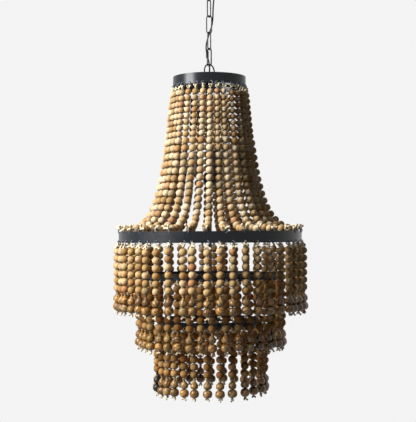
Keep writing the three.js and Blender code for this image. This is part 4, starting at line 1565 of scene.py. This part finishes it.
# Draped strings from the top band out to the middle band
drapeSizes = {
    "groups": 3,
    "strings": 11,
    "offset": 5,
    "topReach": 90,
    "topHeight": -329.2,
    "headLength": 11,
    "headSpread": 1.1,
    "headKnot": 8.2,
    "kneeReach": 112,
    "kneeHeight": -560,
    "sagReach": 125,
    "sagHeight": -690,
    "endReach": 221.5,
    "endHeight": -675.6,
    "smallCount": 8,
    "smallPitch": 14.6,
    "pitch": 17.4,
    "endGap": 4.0,
    "sagSpread": 2.5,
    "turnPower": 0.5,
    "steps": 160,
    "coreStart": 3,
    "coreSteps": 24,
    "aimStep": 0.8,
    "ringInset": 0.3,
    "hookDepth": 0.4,
    "loopDepth": 1.6,
    "head": {
        "knot": 1.1, "loop": 7.0, "tail": 7.6, "rise": 52.0, "spread": 16.0, "droop": 0.0, "thick": 1.35,
    },
    "foot": {
        "knot": 1.8, "loop": 0.0, "tail": 10.5, "rise": 58.0, "spread": 24.0, "droop": 20.0, "thick": 2.1,
    },
}


# A drape's line in its own upright plane: the cubic through top, knee, sag and end, read by length
def drapeLines(count):
    names = ("top", "knee", "sag", "end")
    corners = np.array([(drapeSizes[n + "Reach"], drapeSizes[n + "Height"]) for n in names], float)
    corners = np.repeat(corners[None], count, 0)
    corners[:, 1:3] += chance.normal(0, drapeSizes["sagSpread"], (count, 2, 2))
    t = np.linspace(0, 1, drapeSizes["steps"])[None, :, None]
    a, b, c, d = (corners[:, None, i] for i in range(4))
    return a * (1 - t) ** 3 + 3 * b * t * (1 - t) ** 2 + 3 * c * t * t * (1 - t) + d * t ** 3


# Places along one drape, with axes of outward, across and along, for its small beads, its larger
# ones, the knots at its two ends and its core. From top to end, its azimuth turns by the share of
# the reach opened, to the turn's power
def drapePlaces(line, lengths, topAzimuth, endAzimuth):
    whole = lengths[-1]
    head = drapeSizes["headLength"] + chance.normal(0, drapeSizes["headSpread"])
    firstRound = head + drapeSizes["smallPitch"] * drapeSizes["smallCount"]
    left = whole - firstRound - drapeSizes["endGap"]
    count = int(left // drapeSizes["pitch"])
    stops = [
        head + drapeSizes["smallPitch"] * (np.arange(drapeSizes["smallCount"]) + 0.5),
        firstRound + left / count * (np.arange(count) + 0.5),
        np.array([drapeSizes["headKnot"]]),
        np.array([whole]),
        np.linspace(drapeSizes["coreStart"], whole, drapeSizes["coreSteps"]),
    ]

    def placeAt(stop):
        reach = np.interp(stop, lengths, line[:, 0])
        height = np.interp(stop, lengths, line[:, 1])
        opened = (reach - drapeSizes["topReach"]) / (drapeSizes["endReach"] - drapeSizes["topReach"])
        opened = np.clip(opened, 0, 1) ** drapeSizes["turnPower"]
        turn = np.radians(topAzimuth + (endAzimuth - topAzimuth) * opened)
        return np.stack([reach * np.sin(turn), -reach * np.cos(turn), height], -1)

    turn = math.radians((topAzimuth + endAzimuth) / 2)
    side = np.array([math.cos(turn), math.sin(turn), 0])
    found = []
    for stop in stops:
        ahead = placeAt(stop - drapeSizes["aimStep"]) - placeAt(stop + drapeSizes["aimStep"])
        ahead /= np.linalg.norm(ahead, axis=-1, keepdims=True)
        outward = np.cross(side, ahead)
        outward /= np.linalg.norm(outward, axis=-1, keepdims=True)
        found.append((placeAt(stop), np.stack([outward, np.cross(ahead, outward), ahead], -1)))
    return found


# Each drape's rings are upright in its bands' holes, a little inside the bands' radii
def makeDrapes():
    strings = drapeSizes["strings"]
    topBand, middleBand = bandSizes["bands"]["top"], bandSizes["bands"]["middle"]
    ringOffset = bandSizes["holeInset"] - tieSizes["ring"] + drapeSizes["ringInset"]
    up = np.array([0, 0, 1])
    for g in range(drapeSizes["groups"]):
        members = (g * strings + np.arange(strings) - drapeSizes["offset"]) % len(azimuths["drapeTop"])
        lines = drapeLines(len(members))
        topAzimuths = azimuths["drapeTop"][members]
        endAzimuths = azimuths["drapeEnd"][members]
        found = [
            drapePlaces(*drape) for drape in zip(lines, lengthSoFar(lines), topAzimuths, endAzimuths)
        ]
        small, large, heads, tips, cores = (
            [np.concatenate(part) for part in zip(*group)] for group in zip(*found)
        )
        beads = together([
            beadsAt("round", *group, beadShapes[size], pickTones("natural", len(group[0])))
            for group, size in ((small, "drapeSmall"), (large, "drapeRound"))
        ])
        node = f"draped_strings_{g + 1}"
        makePiece(f"drapedBeads_{g + 1}", beads, "lamp", "naturalWood", [node])
        topAxes, endAxes = bandAxes(topAzimuths), bandAxes(endAzimuths)
        cores = cores[0].reshape(len(members), -1, 3)
        ties = together([
            twineKnots(heads[0], topAxes, drapeSizes["head"]),
            twineKnots(tips[0], endAxes, drapeSizes["foot"]),
            threadCores(cores, endAxes[:, None, :, 1]),
        ])
        makePiece(f"drapedTies_{g + 1}", ties, "lamp", "twine", [node])
        hookHeight = topBand["top"] - topBand["depth"] + ringOffset
        loopHeight = middleBand["top"] - ringOffset
        hooks = topAxes[:, :, 0] * (topBand["radius"] - drapeSizes["hookDepth"]) + up * hookHeight
        loops = endAxes[:, :, 0] * (middleBand["radius"] - drapeSizes["loopDepth"]) + up * loopHeight
        rings = together([wireRings(hooks, topAxes), wireRings(loops, endAxes)])
        makePiece(f"drapedRings_{g + 1}", rings, "lamp", "hookWire", [node])


makeDrapes()
print("drapes made")
